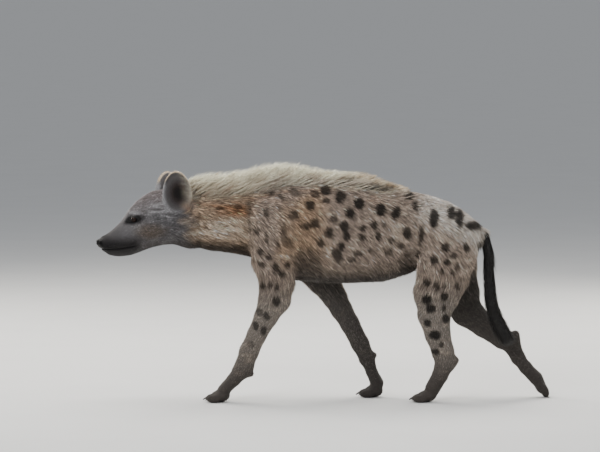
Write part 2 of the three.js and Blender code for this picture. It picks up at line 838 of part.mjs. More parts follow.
// Where the nodes part.
const HEAD_CUT = { point: [-452, 0, 640], direction: [-0.99, -0.12, 0.06] };
const TAIL_CUT = { point: [TAIL_ROOT[0], 0, TAIL_ROOT[2]], direction: [0.35, 0, -0.94], size: 80 };
const NECK_LINE = [[-276, 300], [-268, 612], [-240, 726], [-60, 862], [-60, 1000]];
const NECK_OUTLINE = [[-900, 1000], [-900, 300], ...NECK_LINE];
const EVERY_SIDE = [[-400, 0], [400, 0]];
const PAW_CUTS = {
  front_left: { point: [-343, -79, 52], direction: [-0.62, 0, -0.78], size: 150 },
  front_right: { point: [180, 79, 60], direction: [-0.25, 0, -0.97], size: 150 },
  hind_left: { point: [378, -75, 54], direction: [-0.45, 0, -0.9], size: 150 },
  hind_right: { point: [737, 75, 84], direction: [0.5, 0, -0.86], size: 150 },
};

// The outline that takes a limb out of the body, seen from the side: straight at the front and
// back, round over the shoulder or hip.
const LIMB_OUTLINES = {
  front_left: { front: [[-470, -60], [-470, 452], [-256, 480]], arch: [-176, 590, 80],
    back: [[-90, 470], [-90, -60]] },
  front_right: { front: [[-200, -60]], arch: [-120, 585, 80],
    back: [[70, 410], [260, 396], [260, -60]] },
  hind_left: { front: [[255, -60], [255, 430], [333, 470]], arch: [425, 560, 92],
    back: [[620, 545], [620, -60]] },
  hind_right: { front: [[300, -60], [300, 430], [333, 470]], arch: [425, 560, 92],
    back: [[860, 545], [860, -60]] },
};
const LIMB_INNER = { front: [-20, 0.12], hind: [-8, 0.06] };

function limbOutline(name, growth) {
  const { front, arch, back } = LIMB_OUTLINES[name];
  const shape = new THREE.Shape();
  shape.moveTo(front[0][0] - growth, front[0][1] - growth);
  for (const [x, z] of front.slice(1)) shape.lineTo(x - growth, z + growth);
  const [x, z, radius] = arch;
  shape.absarc(x, z, radius + growth, Math.PI, 0, true);
  for (const [bx, bz] of back) shape.lineTo(bx + growth, bz + growth);
  shape.closePath();
  return shape;
}

function limbDomain(name, growth) {
  const side = name.endsWith("left") ? -1 : 1;
  const [inset, lean] = LIMB_INNER[name.split("_")[0]];
  const inner = [side * (inset - growth), side * lean];
  return slab(limbOutline(name, growth), inner, [side * 400, 0]);
}

const pawFields = Object.entries(PAWS).map(([name, paw]) => pawField(paw, LIMBS[name]));
const PAW_TOP = 130;

function wholeField(x, y, z) {
  let distance = torsoField(x, y, z);
  if (z < PAW_TOP) for (const field of pawFields) distance = join(distance, field(x, y, z), 6);
  return distance;
}

// A part of the body between two corners, thinned to a number of triangles.
function bodyPart(field, low, high, cell, triangles) {
  return solid(thin(polygonize(field, low, high, cell), triangles));
}

const FLOOR = { point: [0, 0, 0], direction: [0, 0, -1], size: 3000 };

// The height of the surface under a place, and its slope there.
function surfaceTop(field, x, y, from, to) {
  let high = from;
  let low = to;
  for (let n = 0; n < 24; n += 1) {
    const middle = (high + low) / 2;
    if (field(x, y, middle) > 0) high = middle;
    else low = middle;
  }
  return (high + low) / 2;
}

// One lock: a flat tapering blade of four sides. It starts `sink` under its root, leaves along
// `heading`, bends to `tipHeading`, and its flat sides look along `face`.
const LOCK_RINGS = [[0, 0.8], [0.4, 1], [0.74, 0.66]];
const LOCK_STEPS = 12;

function lock({ root, heading, tipHeading, face, length, width, thick, sink }) {
  const start = new THREE.Vector3(...heading).normalize();
  const end = new THREE.Vector3(...tipHeading).normalize();
  const flat = new THREE.Vector3(...face);
  const at = new THREE.Vector3(...root).addScaledVector(start, -sink);
  const direction = start.clone();
  const spine = [[at.clone(), start.clone()]];
  for (let n = 0; n < LOCK_STEPS; n += 1) {
    direction.copy(start).lerp(end, (n + 0.5) / LOCK_STEPS).normalize();
    at.addScaledVector(direction, (length + sink) / LOCK_STEPS);
    spine.push([at.clone(), direction.clone()]);
  }
  const points = [];
  for (const [t, share] of LOCK_RINGS) {
    const [centre, along] = spine[Math.round(t * LOCK_STEPS)];
    const side = new THREE.Vector3().crossVectors(along, flat).normalize();
    const out = new THREE.Vector3().crossVectors(side, along).normalize();
    side.multiplyScalar((share * width) / 2);
    out.multiplyScalar((share * thick) / 2);
    for (const corner of [side, out, side.clone().negate(), out.clone().negate()]) {
      points.push(...centre.clone().add(corner).toArray());
    }
  }
  points.push(...spine[LOCK_STEPS][0].toArray());
  const tip = 4 * LOCK_RINGS.length;
  const faces = [0, 1, 2, 0, 2, 3];
  for (let ring = 0; ring + 1 < LOCK_RINGS.length; ring += 1) {
    for (let n = 0; n < 4; n += 1) {
      const i = 4 * ring + n;
      const j = 4 * ring + ((n + 1) % 4);
      faces.push(i, i + 4, j, j, i + 4, j + 4);
    }
  }
  for (let n = 0; n < 4; n += 1) faces.push(tip - 4 + n, tip, tip - 4 + ((n + 1) % 4));
  const geometry = new THREE.BufferGeometry();
  geometry.setAttribute("position", new THREE.Float32BufferAttribute(points, 3));
  geometry.setIndex(faces);
  return solidOf(geometry);
}

// The mane's rows: [distance from the middle, angle at the root, share of the full length].
const MANE_ROWS = [[0, 60, 1], [13, 54, 0.95], [-13, 54, 0.95], [29, 42, 0.75], [-29, 42, 0.75]];
const MANE_STEP = 36;
const BACK_ROWS = 3;
const BACK_FROM = 20;
const BACK_STEP = 42;

function maneLocks(fromX, toX, seed) {
  const draw = draws(seed);
  const locks = [];
  for (let at = fromX; at < toX; at += at < BACK_FROM ? MANE_STEP : BACK_STEP) {
    const onBack = at >= BACK_FROM;
    const rows = onBack ? MANE_ROWS.slice(0, BACK_ROWS) : MANE_ROWS;
    for (const [row, [aside, angle, share]] of rows.entries()) {
      const x = at + (0.5 * (row % 2) + mix(-0.12, 0.12, draw())) * MANE_STEP;
      if (x > toX) continue;
      const y = aside + mix(-2, 2, draw());
      const z = surfaceTop(wholeField, x, y, 900, 600);
      const rise = THREE.MathUtils.degToRad((onBack ? 0.5 : 1) * angle * mix(0.88, 1.1, draw()));
      const settle = rise * mix(0.28, 0.5, draw());
      const tall = maneHeight(x + 20) * share * mix(0.88, 1.1, draw());
      const steep = Math.sin((rise + settle) / 2);
      const outward = Math.sign(aside) * 0.16 + mix(-0.08, 0.08, draw());
      locks.push(lock({
        root: [x, y, z - 3],
        heading: [Math.cos(rise), outward, Math.sin(rise)],
        tipHeading: [Math.cos(settle), -outward * 0.6, Math.sin(settle)],
        face: [0, 1, aside * 0.012],
        length: clamp(tall / steep, 34, 96),
        width: mix(25, 31, draw()),
        thick: 7.5,
        sink: 12,
      }));
    }
  }
  return locks;
}

// The tail: a thin dock, and long hair that lies down along it and ends in a tuft.
const TAIL_STATIONS = TAIL.map(([x, y, z, core, hair]) => {
  const radius = LOCKS_IN_FULL ? core : hair;
  return [x, y, z, radius, radius];
});
const tailBody = limbBody(TAIL_STATIONS, 1);
const TAIL_RINGS = 5;
const TAIL_ROWS = 4;

function tailLocks() {
  const draw = draws(41);
  const locks = [];
  const path = new THREE.CatmullRomCurve3(TAIL.map(([x, y, z]) => new THREE.Vector3(x, y, z)));
  const tip = new THREE.Vector3(...TAIL_TIP);
  for (let ring = 0; ring < TAIL_RINGS; ring += 1) {
    const share = 0.05 + (0.9 * ring) / (TAIL_RINGS - 1);
    const at = path.getPoint(share);
    const lie = path.getTangent(share);
    const station = Math.min(Math.floor(share * (TAIL.length - 1)), TAIL.length - 2);
    const t = share * (TAIL.length - 1) - station;
    const core = mix(TAIL[station][3], TAIL[station + 1][3], t);
    const reach = mix(TAIL[station][4], TAIL[station + 1][4], t);
    for (let n = 0; n < TAIL_ROWS; n += 1) {
      const turn = ((n + 0.5 * (ring % 2) + 0.15 * draw()) / TAIL_ROWS) * Math.PI * 2;
      const out = new THREE.Vector3(Math.cos(turn), Math.sin(turn), 0);
      out.addScaledVector(lie, -out.dot(lie)).normalize();
      const root = at.clone().addScaledVector(out, core * 0.8);
      const length = Math.min(mix(98, 124, draw()), root.distanceTo(tip) * mix(0.8, 1.06, draw()));
      const flare = clamp(((reach - core) * 1.3) / length, 0, 0.3);
      const later = path.getTangent(Math.min(share + 0.2, 1));
      locks.push(lock({
        root: root.toArray(),
        heading: lie.clone().addScaledVector(out, flare).toArray(),
        tipHeading: later.addScaledVector(out, -0.3 * flare).toArray(),
        face: out.toArray(),
        length,
        width: mix(17, 20, draw()),
        thick: 8,
        sink: 5,
      }));
    }
  }
  return locks;
}

// One ear: a cup with a rounded rim, set on the side of the skull.
function earBody(side) {
  const field = (a, b, z) => carve(ellipsoid(...earFrame(a, b, z), EAR.outer), earCavity(a, b, z), 3);
  const reach = [65, 46, 87];
  const low = EAR.centre.map((value, i) => value - reach[i]);
  const high = EAR.centre.map((value, i) => value + reach[i]);
  const surface = thin(polygonize(field, low, high, 3), 380);
  const points = [];
  for (let n = 0; n < surface.points.length; n += 3) {
    const [a, b, z] = surface.points.slice(n, n + 3);
    points.push(...fromHead([a, side * b, z - earDrop(side)]));
  }
  const faces = [...surface.faces];
  return solid({ points, faces: side > 0 ? faces.reverse() : faces });
}

// The almond-shaped opening between the lids.
function lidSlit(side) {
  const [half, tall] = EYE.slit;
  const almond = new THREE.Shape();
  almond.moveTo(-half, 0);
  almond.bezierCurveTo(-0.4 * half, 1.3 * tall, 0.5 * half, 1.3 * tall, half, 0);
  almond.bezierCurveTo(0.4 * half, -1.2 * tall, -0.5 * half, -1.2 * tall, -half, 0);
  const opening = new THREE.ExtrudeGeometry(almond, { depth: 30, bevelEnabled: false,
    curveSegments: 6 });
  opening.rotateZ(THREE.MathUtils.degToRad(-EYE.tilt));
  opening.rotateX(Math.PI / 2);
  opening.rotateZ(Math.PI + THREE.MathUtils.degToRad(EYE.ahead));
  const at = opening.attributes.position;
  for (let n = 0; n < at.count; n += 1) {
    const place = fromHead([EYE.a + at.getX(n), side * (EYE.b + at.getY(n)), EYE.z + at.getZ(n)]);
    at.setXYZ(n, ...place);
  }
  return solidOf(opening);
}

function ball(centre, radius) {
  const geometry = new THREE.SphereGeometry(radius, 10, 8);
  geometry.translate(...centre);
  return solidOf(geometry);
}

// Claws, blunt cones that leave each toe forwards and a little down.
function claws(paw) {
  const { ahead, above } = pawFrame(paw);
  const pieces = [];
  for (let toe = 0; toe < TOES; toe += 1) {
    const side = toe - (TOES - 1) / 2;
    const tip = paw.long * (Math.abs(side) < 1 ? 1 : 0.82);
    const geometry = new THREE.ConeGeometry(CLAW_RADIUS, CLAW_LENGTH + 10, 6);
    const heading = new THREE.Vector3(ahead[0] - 0.35 * above[0], 0, ahead[1] - 0.35 * above[1]);
    heading.normalize();
    const turn = new THREE.Quaternion().setFromUnitVectors(new THREE.Vector3(0, 1, 0), heading);
    geometry.applyQuaternion(turn);
    const forward = tip + 4;
    const up = -4;
    geometry.translate(
      paw.palm[0] + forward * ahead[0] + up * above[0],
      paw.palm[1] + side * paw.wide * 0.92,
      paw.palm[2] + forward * ahead[1] + up * above[1],
    );
    pieces.push(solidOf(geometry));
  }
  return pieces;
}

// The nodes.
const parts = {};
const neckDomain = slab(outlineOf(NECK_OUTLINE), ...EVERY_SIDE);
const neckDomainGrown = neckDomain.translate([2 * GAP, 0, 0]);

parts.head = bodyPart(wholeField, [-815, -190, 480], [-440, 110, 800], 4, 3100)
  .subtract(beyondPlane({ ...HEAD_CUT, direction: HEAD_CUT.direction.map((v) => -v) }, 0));
const ears = { ear_left: earBody(1), ear_right: earBody(-1) };
const headSkin = grown(parts.head, GAP + 0.1);
for (const [name, ear] of Object.entries(ears)) parts[name] = largest(ear.subtract(headSkin));
for (const [name, side] of [["eye_left", 1], ["eye_right", -1]]) {
  const centre = fromHead([EYE.a, side * EYE.b, EYE.z]);
  parts[name] = ball(centre, EYE.radius);
  parts.head = parts.head.subtract(ball(centre, EYE.radius + GAP)).subtract(lidSlit(side));
}
parts.head = largest(parts.head);

const neckBody = bodyPart(wholeField, [-480, -130, 480], [-50, 130, 870], 10, 640);
const torsoBody = bodyPart(wholeField, [-300, -180, 370], [600, 180, 870], 10, 1600);
const neckLocks = LOCKS_IN_FULL ? maneLocks(-450, -190, 7) : [];
const backLocks = LOCKS_IN_FULL ? maneLocks(-186, 225, 11) : [];
parts.neck = largest(wasm.Manifold.union([neckBody, ...neckLocks])
  .intersect(neckDomain)
  .subtract(beyondPlane(HEAD_CUT, -GAP)));
let torso = wasm.Manifold.union([torsoBody, ...backLocks])
  .subtract(neckDomainGrown)
  .subtract(beyondPlane(TAIL_CUT, 0));
for (const name of Object.keys(LIMBS)) torso = torso.subtract(limbDomain(name, GAP));
parts.torso = largest(torso);

const LIMB_BOXES = {
  front_left: [[-400, -150, 30], [-80, 20, 680]],
  front_right: [[-215, -20, 30], [235, 150, 680]],
  hind_left: [[245, -150, 30], [580, 20, 680]],
  hind_right: [[290, -20, 60], [770, 150, 680]],
};
for (const name of Object.keys(LIMBS)) {
  const [low, high] = LIMB_BOXES[name];
  const leg = bodyPart(wholeField, low, high, 8, 600)
    .intersect(limbDomain(name, 0))
    .subtract(neckDomainGrown)
    .subtract(beyondPlane(PAW_CUTS[name], -GAP));
  parts["leg_" + name] = largest(leg);
  const [x, y, z] = PAWS[name].palm;
  const paw = bodyPart(wholeField, [x - 75, y - 62, -25], [x + 75, y + 62, z + 80], 4, 420);
  const whole = wasm.Manifold.union([paw, ...claws(PAWS[name])])
    .intersect(beyondPlane(PAW_CUTS[name], 0))
    .subtract(beyondPlane(FLOOR, 0));
  parts["paw_" + name] = largest(whole);
}

const tailCore = bodyPart(tailBody, [520, -40, 170], [690, 40, 625], 6, 200);
const tailWhole = wasm.Manifold.union([tailCore, ...(LOCKS_IN_FULL ? tailLocks() : [])])
  .intersect(beyondPlane({ ...TAIL_CUT, size: 900 }, GAP));
parts.tail = largest(tailWhole);

// Locks are cut clear of the neighbours that they pass.
const CLEARED = [
  ["neck", ["ear_left", "ear_right"]],
  ["tail", ["torso", "leg_hind_left", "leg_hind_right"]],
];
for (const [name, others] of CLEARED) {
  for (const other of others) parts[name] = parts[name].subtract(grown(parts[other], GAP));
  parts[name] = largest(parts[name]);
}

// The scene graph, shifted so that the middle of the animal's box is over the origin.
const group = new THREE.Group();
for (const [name, body] of Object.entries(parts)) {
  const kind = name.split("_")[0];
  const [color, roughness] = FINISH[kind];
  const mesh = new THREE.Mesh(geometryOf(body),
    new THREE.MeshStandardMaterial({ color, roughness, metalness: 0 }));
  mesh.name = name;
  group.add(mesh);
}
const box = new THREE.Box3().setFromObject(group);
const shift = [-(box.min.x + box.max.x) / 2, -(box.min.y + box.max.y) / 2, -box.min.z];
group.position.set(...shift);

export default group;
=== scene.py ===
# The looks of the life-size spotted hyena: skin, coat, mane, tail, eyes, claws and the stage.
# The body's form is worked out in the model's millimetres, and every mesh is made in metres in
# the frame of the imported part.
import itertools
import math

import bmesh
import bpy
import numpy as np
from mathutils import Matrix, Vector


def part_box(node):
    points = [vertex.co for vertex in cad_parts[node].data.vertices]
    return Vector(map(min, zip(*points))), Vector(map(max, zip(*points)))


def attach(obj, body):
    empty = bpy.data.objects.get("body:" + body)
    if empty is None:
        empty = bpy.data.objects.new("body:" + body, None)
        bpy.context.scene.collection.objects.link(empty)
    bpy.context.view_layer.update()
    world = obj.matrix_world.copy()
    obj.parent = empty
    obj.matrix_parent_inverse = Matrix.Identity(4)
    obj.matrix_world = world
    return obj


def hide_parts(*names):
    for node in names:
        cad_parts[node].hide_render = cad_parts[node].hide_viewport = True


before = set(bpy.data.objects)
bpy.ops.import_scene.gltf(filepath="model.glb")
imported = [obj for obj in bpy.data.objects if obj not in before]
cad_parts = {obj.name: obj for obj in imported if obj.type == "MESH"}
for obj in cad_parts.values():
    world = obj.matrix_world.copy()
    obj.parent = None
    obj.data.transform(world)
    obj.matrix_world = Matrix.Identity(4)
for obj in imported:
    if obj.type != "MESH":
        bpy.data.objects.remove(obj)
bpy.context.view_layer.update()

bl_info = {
    "name": "Spotted Hyena Looks",
    "version": (1, 0, 0),
    "blender": (4, 5, 0),
    "location": "View3D > Sidebar > Hyena",
    "description": "Builds the skin, coat, mane, tail, eyes, claws and stage of a spotted hyena",
    "category": "Object",
}

MM = 0.001
FAR = 1e9
CORNERS = list(itertools.product((0, 1), repeat=3))

# The head is turned about the pivot at the back of the skull. `a` runs back from the tip of the
# nose and `b` sideways, positive on the left.
HEAD_LENGTH = 314
HEAD_TURN = math.radians(13.4)
HEAD_PIVOT_X = -490
EYE_PLACE = (126, 40, 639)
EYE_RADIUS = 12.5
LID_TURN = math.radians(30)
LID_TILT = 0.14
LID_HALF_LENGTH = 12.5
LID_HALF_HEIGHT = 6.0
NOSE_DEPTH = 15
NOSE_LOW = 541
NECK_SEAM = -448
HEAD_REACH = -380

# Neck and trunk: [x, back, belly, half width, pinch at the top, pinch at the bottom].
TRUNK = [
    [-560, 690, 590, 40, 0, 0], [-510, 728, 556, 74, 0.1, 0.1], [-440, 737, 533, 84, 0.12, 0.1],
    [-350, 740, 521, 93, 0.15, 0.1], [-270, 747, 505, 110, 0.2, 0.15],
    [-190, 765, 462, 128, 0.28, 0.25], [-90, 777, 420, 138, 0.25, 0.15],
    [60, 772, 411, 140, 0.2, 0.1], [190, 752, 417, 132, 0.2, 0.1], [290, 735, 444, 114, 0.2, 0.15],
    [365, 718, 486, 104, 0.2, 0.15], [440, 690, 505, 98, 0.2, 0.1], [505, 646, 520, 78, 0.1, 0.1],
    [548, 600, 540, 40, 0, 0],
]

# The skull in its own direction: [a, top, bottom, half width, pinch at the top, at the bottom].
SKULL = [
    [0, 567, 550, 16, 0, 0], [8, 571, 542, 26, 0, 0.05], [20, 578, 531, 34, 0.05, 0.1],
    [48, 596, 512, 42, 0.12, 0.2], [81, 626, 507, 49, 0.24, 0.3], [112, 668, 509, 58, 0.32, 0.38],
    [142, 701, 517, 72, 0.36, 0.42], [171, 722, 528, 82, 0.36, 0.4],
    [205, 737, 538, 88, 0.3, 0.35], [245, 741, 545, 88, 0.25, 0.3], [285, 739, 547, 86, 0.2, 0.2],
    [320, 736, 544, 83, 0.15, 0.1], [355, 720, 558, 72, 0.1, 0.1], [390, 690, 590, 40, 0, 0],
]

# Limbs from the shoulder or hip down: [x, outwards, z, radius from the side, from the front].
FRONT_LEFT = [
    [-178, 78, 610, 84, 50], [-182, 84, 505, 76, 48], [-168, 88, 425, 66, 44],
    [-176, 87, 362, 58, 40], [-205, 85, 301, 43, 35], [-237, 83, 238, 36, 30],
    [-264, 82, 180, 36, 28], [-285, 81, 120, 35, 30], [-318, 80, 80, 23, 28],
    [-352, 79, 44, 21, 30],
]
FRONT_RIGHT = [
    [-150, 78, 600, 84, 50], [-80, 84, 505, 76, 48], [-8, 88, 425, 64, 44], [33, 87, 356, 45, 39],
    [57, 85, 312, 40, 36], [88, 83, 260, 36, 31], [124, 81, 190, 34, 28], [148, 80, 140, 30, 30],
    [165, 79, 92, 20, 27], [184, 79, 50, 23, 30],
]
HIND_LEFT = [
    [436, 60, 545, 100, 50], [412, 74, 450, 96, 48], [390, 82, 385, 84, 45],
    [380, 82, 308, 60, 42], [392, 80, 240, 47, 35], [410, 78, 180, 41, 29],
    [420, 76, 142, 39, 27], [402, 75, 96, 28, 25], [376, 75, 48, 26, 28],
]
HIND_RIGHT = [
    [436, 60, 545, 100, 50], [438, 72, 450, 98, 48], [462, 78, 375, 84, 44],
    [500, 78, 305, 58, 41], [558, 78, 255, 44, 35], [625, 77, 207, 38, 29],
    [655, 76, 192, 36, 27], [680, 75, 143, 27, 25], [708, 75, 106, 23, 25], [743, 75, 70, 24, 29],
]
LIMBS = [(FRONT_LEFT, -1), (FRONT_RIGHT, 1), (HIND_LEFT, -1), (HIND_RIGHT, 1)]
HAUNCH_SOFTNESS = 40
JOINT_SOFTNESS = 8
NAPE_SOFTNESS = 36
MANE_SOFTNESS = 16
KNOB_SOFTNESS = 14
TAIL_SOFTNESS = 16
LIMB_TOP = 720
LIMB_REACH = 170
SOLE = 0.6

# The points of hock and carpal pad: [x, y, z, and the three radii].
KNOB_TOP = 260
KNOBS = [
    [447, -76, 146, 22, 15, 17], [672, 76, 219, 17, 14, 22], [-258, -81, 98, 13, 11, 10],
    [174, 80, 150, 11, 10, 9],
]

# Paws: [palm x, y, z, turned down by degrees, half width, half height, length], and its limb.
PAWS = [
    [(-364, -79, 21), 0, 21, 21, 46, 0], [(174, 79, 21), 0, 21, 21, 48, 1],
    [(356, -75, 20), 0, 19, 20, 46, 2], [(759, 75, 45), 112, 19, 20, 44, 3],
]
TOES = 4
OUTER_TOE = 0.82
TOE_SPACING = 0.92
CLAW_LENGTH = 17
CLAW_ROOT = 8
CLAW_RADIUS = 4.5
CLAW_TIP_RADIUS = 1.1

# The mane: its height above the back line, along the animal.
MANE = [
    [-508, 0], [-478, 36], [-430, 52], [-320, 56], [-250, 68], [-180, 60], [-110, 44], [0, 28],
    [120, 24], [190, 16], [280, 7],
]
MANE_CORE = 0.3
MANE_CORE_HALF_WIDTH = 30

# The tail: [x, y, z, radius of the dock, reach of the hair].
TAIL = [
    [559, -2, 588, 14, 19], [567, -3, 545, 12, 19], [571, -4, 485, 11, 21], [575, -4, 425, 10, 23],
    [581, -4, 365, 10, 26], [594, -4, 310, 9, 30], [612, -4, 266, 7, 32], [630, -4, 232, 5, 28],
]
TAIL_TIP = (650, -4, 184)

# Where the trunk runs out into the tail: x, z and the radius.
TAIL_ROOT = (520, 606, 26)

EAR_CENTRE = (272, 79, 730)
EAR_UP = (-0.1, -0.04, 1)
EAR_FACING = (-0.34, 0.93, 0.02)
EAR_OUTER = (54, 78, 24)
EAR_CAVITY = (48, 71, 28)
EAR_SHIFT = 15
RIGHT_EAR_DROP = 9
EAR_NARROWING = 0.0016

# Soft marks on the head, dents above 0: [a, b, z, reach along, across and up, depth].
HEAD_MARKS = [
    [107, 50, 634, 22, 18, 20, 4], [135, 40, 668, 20, 16, 9, -7], [160, 82, 606, 34, 26, 20, -6],
    [215, 86, 650, 40, 30, 26, 7], [200, 78, 562, 44, 30, 24, -5], [96, 0, 650, 26, 12, 16, 3],
    [66, 40, 560, 26, 20, 16, -4], [6, 12, 558, 7, 4.5, 4, 11], [12, 17, 556, 6, 5, 3, 5],
    [2, 0, 552, 9, 2.5, 12, 3], [30, 30, 545, 16, 12, 10, -3], [20, 0, 580, 16, 12, 7, -2],
]
MOUTH_END = 142
MOUTH_DEPTH = 3.6
LIP_DEPTH = 1.6

# Soft marks on the body, the same on both sides: [x, y, z, reach, reach, reach, depth].
BODY_MARKS = [
    [-262, 100, 640, 24, 60, 90, 6], [-190, 132, 600, 60, 40, 70, -6],
    [-105, 140, 560, 22, 40, 90, 6], [-215, 110, 500, 30, 30, 40, -5],
    [300, 120, 560, 30, 50, 90, 8], [318, 105, 470, 24, 40, 50, 7], [420, 110, 620, 60, 40, 50, -6],
    [350, 60, 700, 60, 30, 40, 4], [30, 140, 600, 90, 40, 60, 3], [500, 90, 560, 30, 40, 60, 4],
    [-330, 95, 600, 60, 40, 30, 4], [-360, 90, 560, 50, 40, 30, -4],
]

# How deep the coat lies over the skin, in millimetres.
COAT_ON_BODY = 6.5
COAT_ON_LEG = 3.0
COAT_ON_HEAD = 2.6
COAT_ON_MUZZLE = 0.8
COAT_ON_PAW = 1.2
COAT_ON_EAR = 0.8

# The nets of body and head: [corner, corner, cell].
BODY_NET = ([-480, -172, -9], [800, 172, 842], 7.5)
HEAD_NET = ([-832, -214, 480], [-432, 116, 836], 3.4)


def clamp(value, low, high):
    return np.minimum(np.maximum(value, low), high)


def mix(start, end, share):
    return start + (end - start) * share


def ramp(value, low, high):
    """0 below low, 1 above high and smooth between; low may be the larger one."""
    t = clamp((value - low) / (high - low), 0, 1)
    return t * t * (3 - 2 * t)


def unit(vectors):
    size = np.linalg.norm(vectors, axis=-1, keepdims=True)
    return vectors / np.maximum(size, 1e-9)


def columns(*values):
    """Points or directions from their coordinates."""
    return np.stack(values, axis=-1)


def curve_through(knots, column):
    """A smooth curve through a column of a table, which never overshoots its knots."""
    at = np.array([knot[0] for knot in knots], float)
    value = np.array([knot[column] for knot in knots], float)
    rise = np.diff(value) / np.diff(at)
    slope = np.empty(len(at))
    slope[0], slope[-1] = rise[0], rise[-1]
    for i in range(1, len(at) - 1):
        before, after = rise[i - 1], rise[i]
        slope[i] = 0 if before * after <= 0 else 2 * before * after / (before + after)

    def curve(x):
        s = clamp(x, at[0], at[-1])
        i = clamp(np.searchsorted(at, s, "right") - 1, 0, len(at) - 2).astype(int)
        span = at[i + 1] - at[i]
        t = (s - at[i]) / span
        u = 1 - t
        return (u * u * (1 + 2 * t) * value[i] + t * t * (3 - 2 * t) * value[i + 1]
                + t * u * u * span * slope[i] - t * t * u * span * slope[i + 1])

    return curve


# Shapes as fields: below 0 inside, above 0 outside, and near the surface about the distance.
def oval(u, v, half_u, half_v):
    p, q = u / half_u, v / half_v
    near = np.sqrt(p * p + q * q)
    steep = np.sqrt((p / half_u) ** 2 + (q / half_v) ** 2)
    return np.where(steep < 1e-9, -1.0, near * (near - 1) / np.maximum(steep, 1e-9))


def ellipsoid(u, v, w, radii):
    p, q, r = u / radii[0], v / radii[1], w / radii[2]
    near = np.sqrt(p * p + q * q + r * r)
    steep = np.sqrt((p / radii[0]) ** 2 + (q / radii[1]) ** 2 + (r / radii[2]) ** 2)
    return np.where(steep < 1e-9, -1.0, near * (near - 1) / np.maximum(steep, 1e-9))


def join(one, other, softness):
    overlap = np.maximum(softness - np.abs(one - other), 0) / softness
    return np.minimum(one, other) - overlap * overlap * softness / 4


def carve(body, tool, softness):
    return -join(-body, tool, softness)


def swell(u, v, w, mark):
    """A soft dent (depth above 0) or swelling (below 0)."""
    square = ((u - mark[0]) / mark[3]) ** 2 + ((v - mark[1]) / mark[4]) ** 2
    square = square + ((w - mark[2]) / mark[5]) ** 2
    return np.where(square > 9, 0, mark[6] * np.exp(-square))


def profile_body(knots):
    top, bottom, half, upper, lower = [curve_through(knots, n) for n in range(1, 6)]

    def field(x, y, z):
        s = clamp(x, knots[0][0], knots[-1][0])
        centre = (top(s) + bottom(s)) / 2
        tall = (top(s) - bottom(s)) / 2
        rise = clamp((z - centre) / tall, -1, 1)
        pinch = np.where(rise > 0, upper(s), lower(s))
        section = oval(y, z - centre, half(s) * (1 - pinch * rise * rise), tall)
        return np.where(s == x, section, np.hypot(np.maximum(section, 0), x - s))

    return field


def limb_body(stations, side):
    """A limb through its stations: the distance from it, and the number of stations passed."""
    table = np.array(stations, float)
    place = table[:, :3] * [1, side, 1]

    def field(x, y, z):
        distance = nearest = np.full(x.shape, 1000.0)
        down = np.zeros(x.shape)
        for i in range(len(table) - 1):
            along = place[i + 1] - place[i]
            dx, dy, dz = x - place[i, 0], y - place[i, 1], z - place[i, 2]
            t = clamp((dx * along[0] + dy * along[1] + dz * along[2]) / (along @ along), 0, 1)
            in_plane = np.hypot(dx - t * along[0], dz - t * along[2])
            deep = mix(table[i, 3], table[i + 1, 3], t)
            wide = mix(table[i, 4], table[i + 1, 4], t)
            link = oval(dy - t * along[1], in_plane, wide, deep)
            down = np.where(link < nearest, i + t, down)
            nearest = np.minimum(link, nearest)
            distance = join(distance, link, JOINT_SOFTNESS)
        return distance, down

    return field


TURN_COS, TURN_SIN = math.cos(HEAD_TURN), math.sin(HEAD_TURN)


def to_head(x, y):
    dx = x - HEAD_PIVOT_X
    return HEAD_LENGTH + dx * TURN_COS + y * TURN_SIN, dx * TURN_SIN - y * TURN_COS


def from_head(a, b, z):
    ahead = HEAD_LENGTH - np.asarray(a, float)
    x = HEAD_PIVOT_X - ahead * TURN_COS + b * TURN_SIN
    return np.stack(np.broadcast_arrays(x, -ahead * TURN_SIN - b * TURN_COS, z), axis=-1)


def head_axes():
    """The head's backward and left directions."""
    back = np.array([TURN_COS, TURN_SIN, 0.0])
    left = np.array([TURN_SIN, -TURN_COS, 0.0])
    return back, left


eye_low, eye_high = (np.array(corner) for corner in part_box("eye_left"))
SHIFT = (eye_low + eye_high) / 2 / MM - from_head(*EYE_PLACE)


def to_frame(points):
    """From the model's millimetres to the frame's metres."""
    return (points + SHIFT) * MM


skull = profile_body(SKULL)
trunk = profile_body(TRUNK)
mane_height = curve_through(MANE, 1)
back_line = curve_through(TRUNK, 1)
trunk_belly = curve_through(TRUNK, 2)
limb_fields = [limb_body(stations, side) for stations, side in LIMBS]
limb_boxes = []
for stations, side in LIMBS:
    table = np.array(stations, float)
    limb_boxes.append((table[:, 0].min() - LIMB_REACH, table[:, 0].max() + LIMB_REACH,
                       table[:, 2].min() - 90))


def mouth_line(a):
    """The height of the mouth's slit."""
    return 536 + 0.02 * a + 0.0012 * np.maximum(a - 45, 0) ** 2


ear_up = unit(np.array(EAR_UP, float))
ear_facing = np.array(EAR_FACING, float)
ear_facing = unit(ear_facing - ear_up * (ear_facing @ ear_up))
ear_across = np.cross(ear_up, ear_facing)


def ear_frame(a, b, z):
    """Places in the ear's own directions: across it to the front, up it, and out of its cup."""
    z = z + np.where(b < 0, RIGHT_EAR_DROP, 0)
    da, db, dz = a - EAR_CENTRE[0], np.abs(b) - EAR_CENTRE[1], z - EAR_CENTRE[2]
    u, v, w = (da * axis[0] + db * axis[1] + dz * axis[2]
               for axis in (ear_across, ear_up, ear_facing))
    return u * (1 + EAR_NARROWING * v), v, w


def from_eye(a, b, z):
    """The distance from the middle of the nearer eye."""
    return np.sqrt((a - EYE_PLACE[0]) ** 2 + (np.abs(b) - EYE_PLACE[1]) ** 2
                   + (z - EYE_PLACE[2]) ** 2)


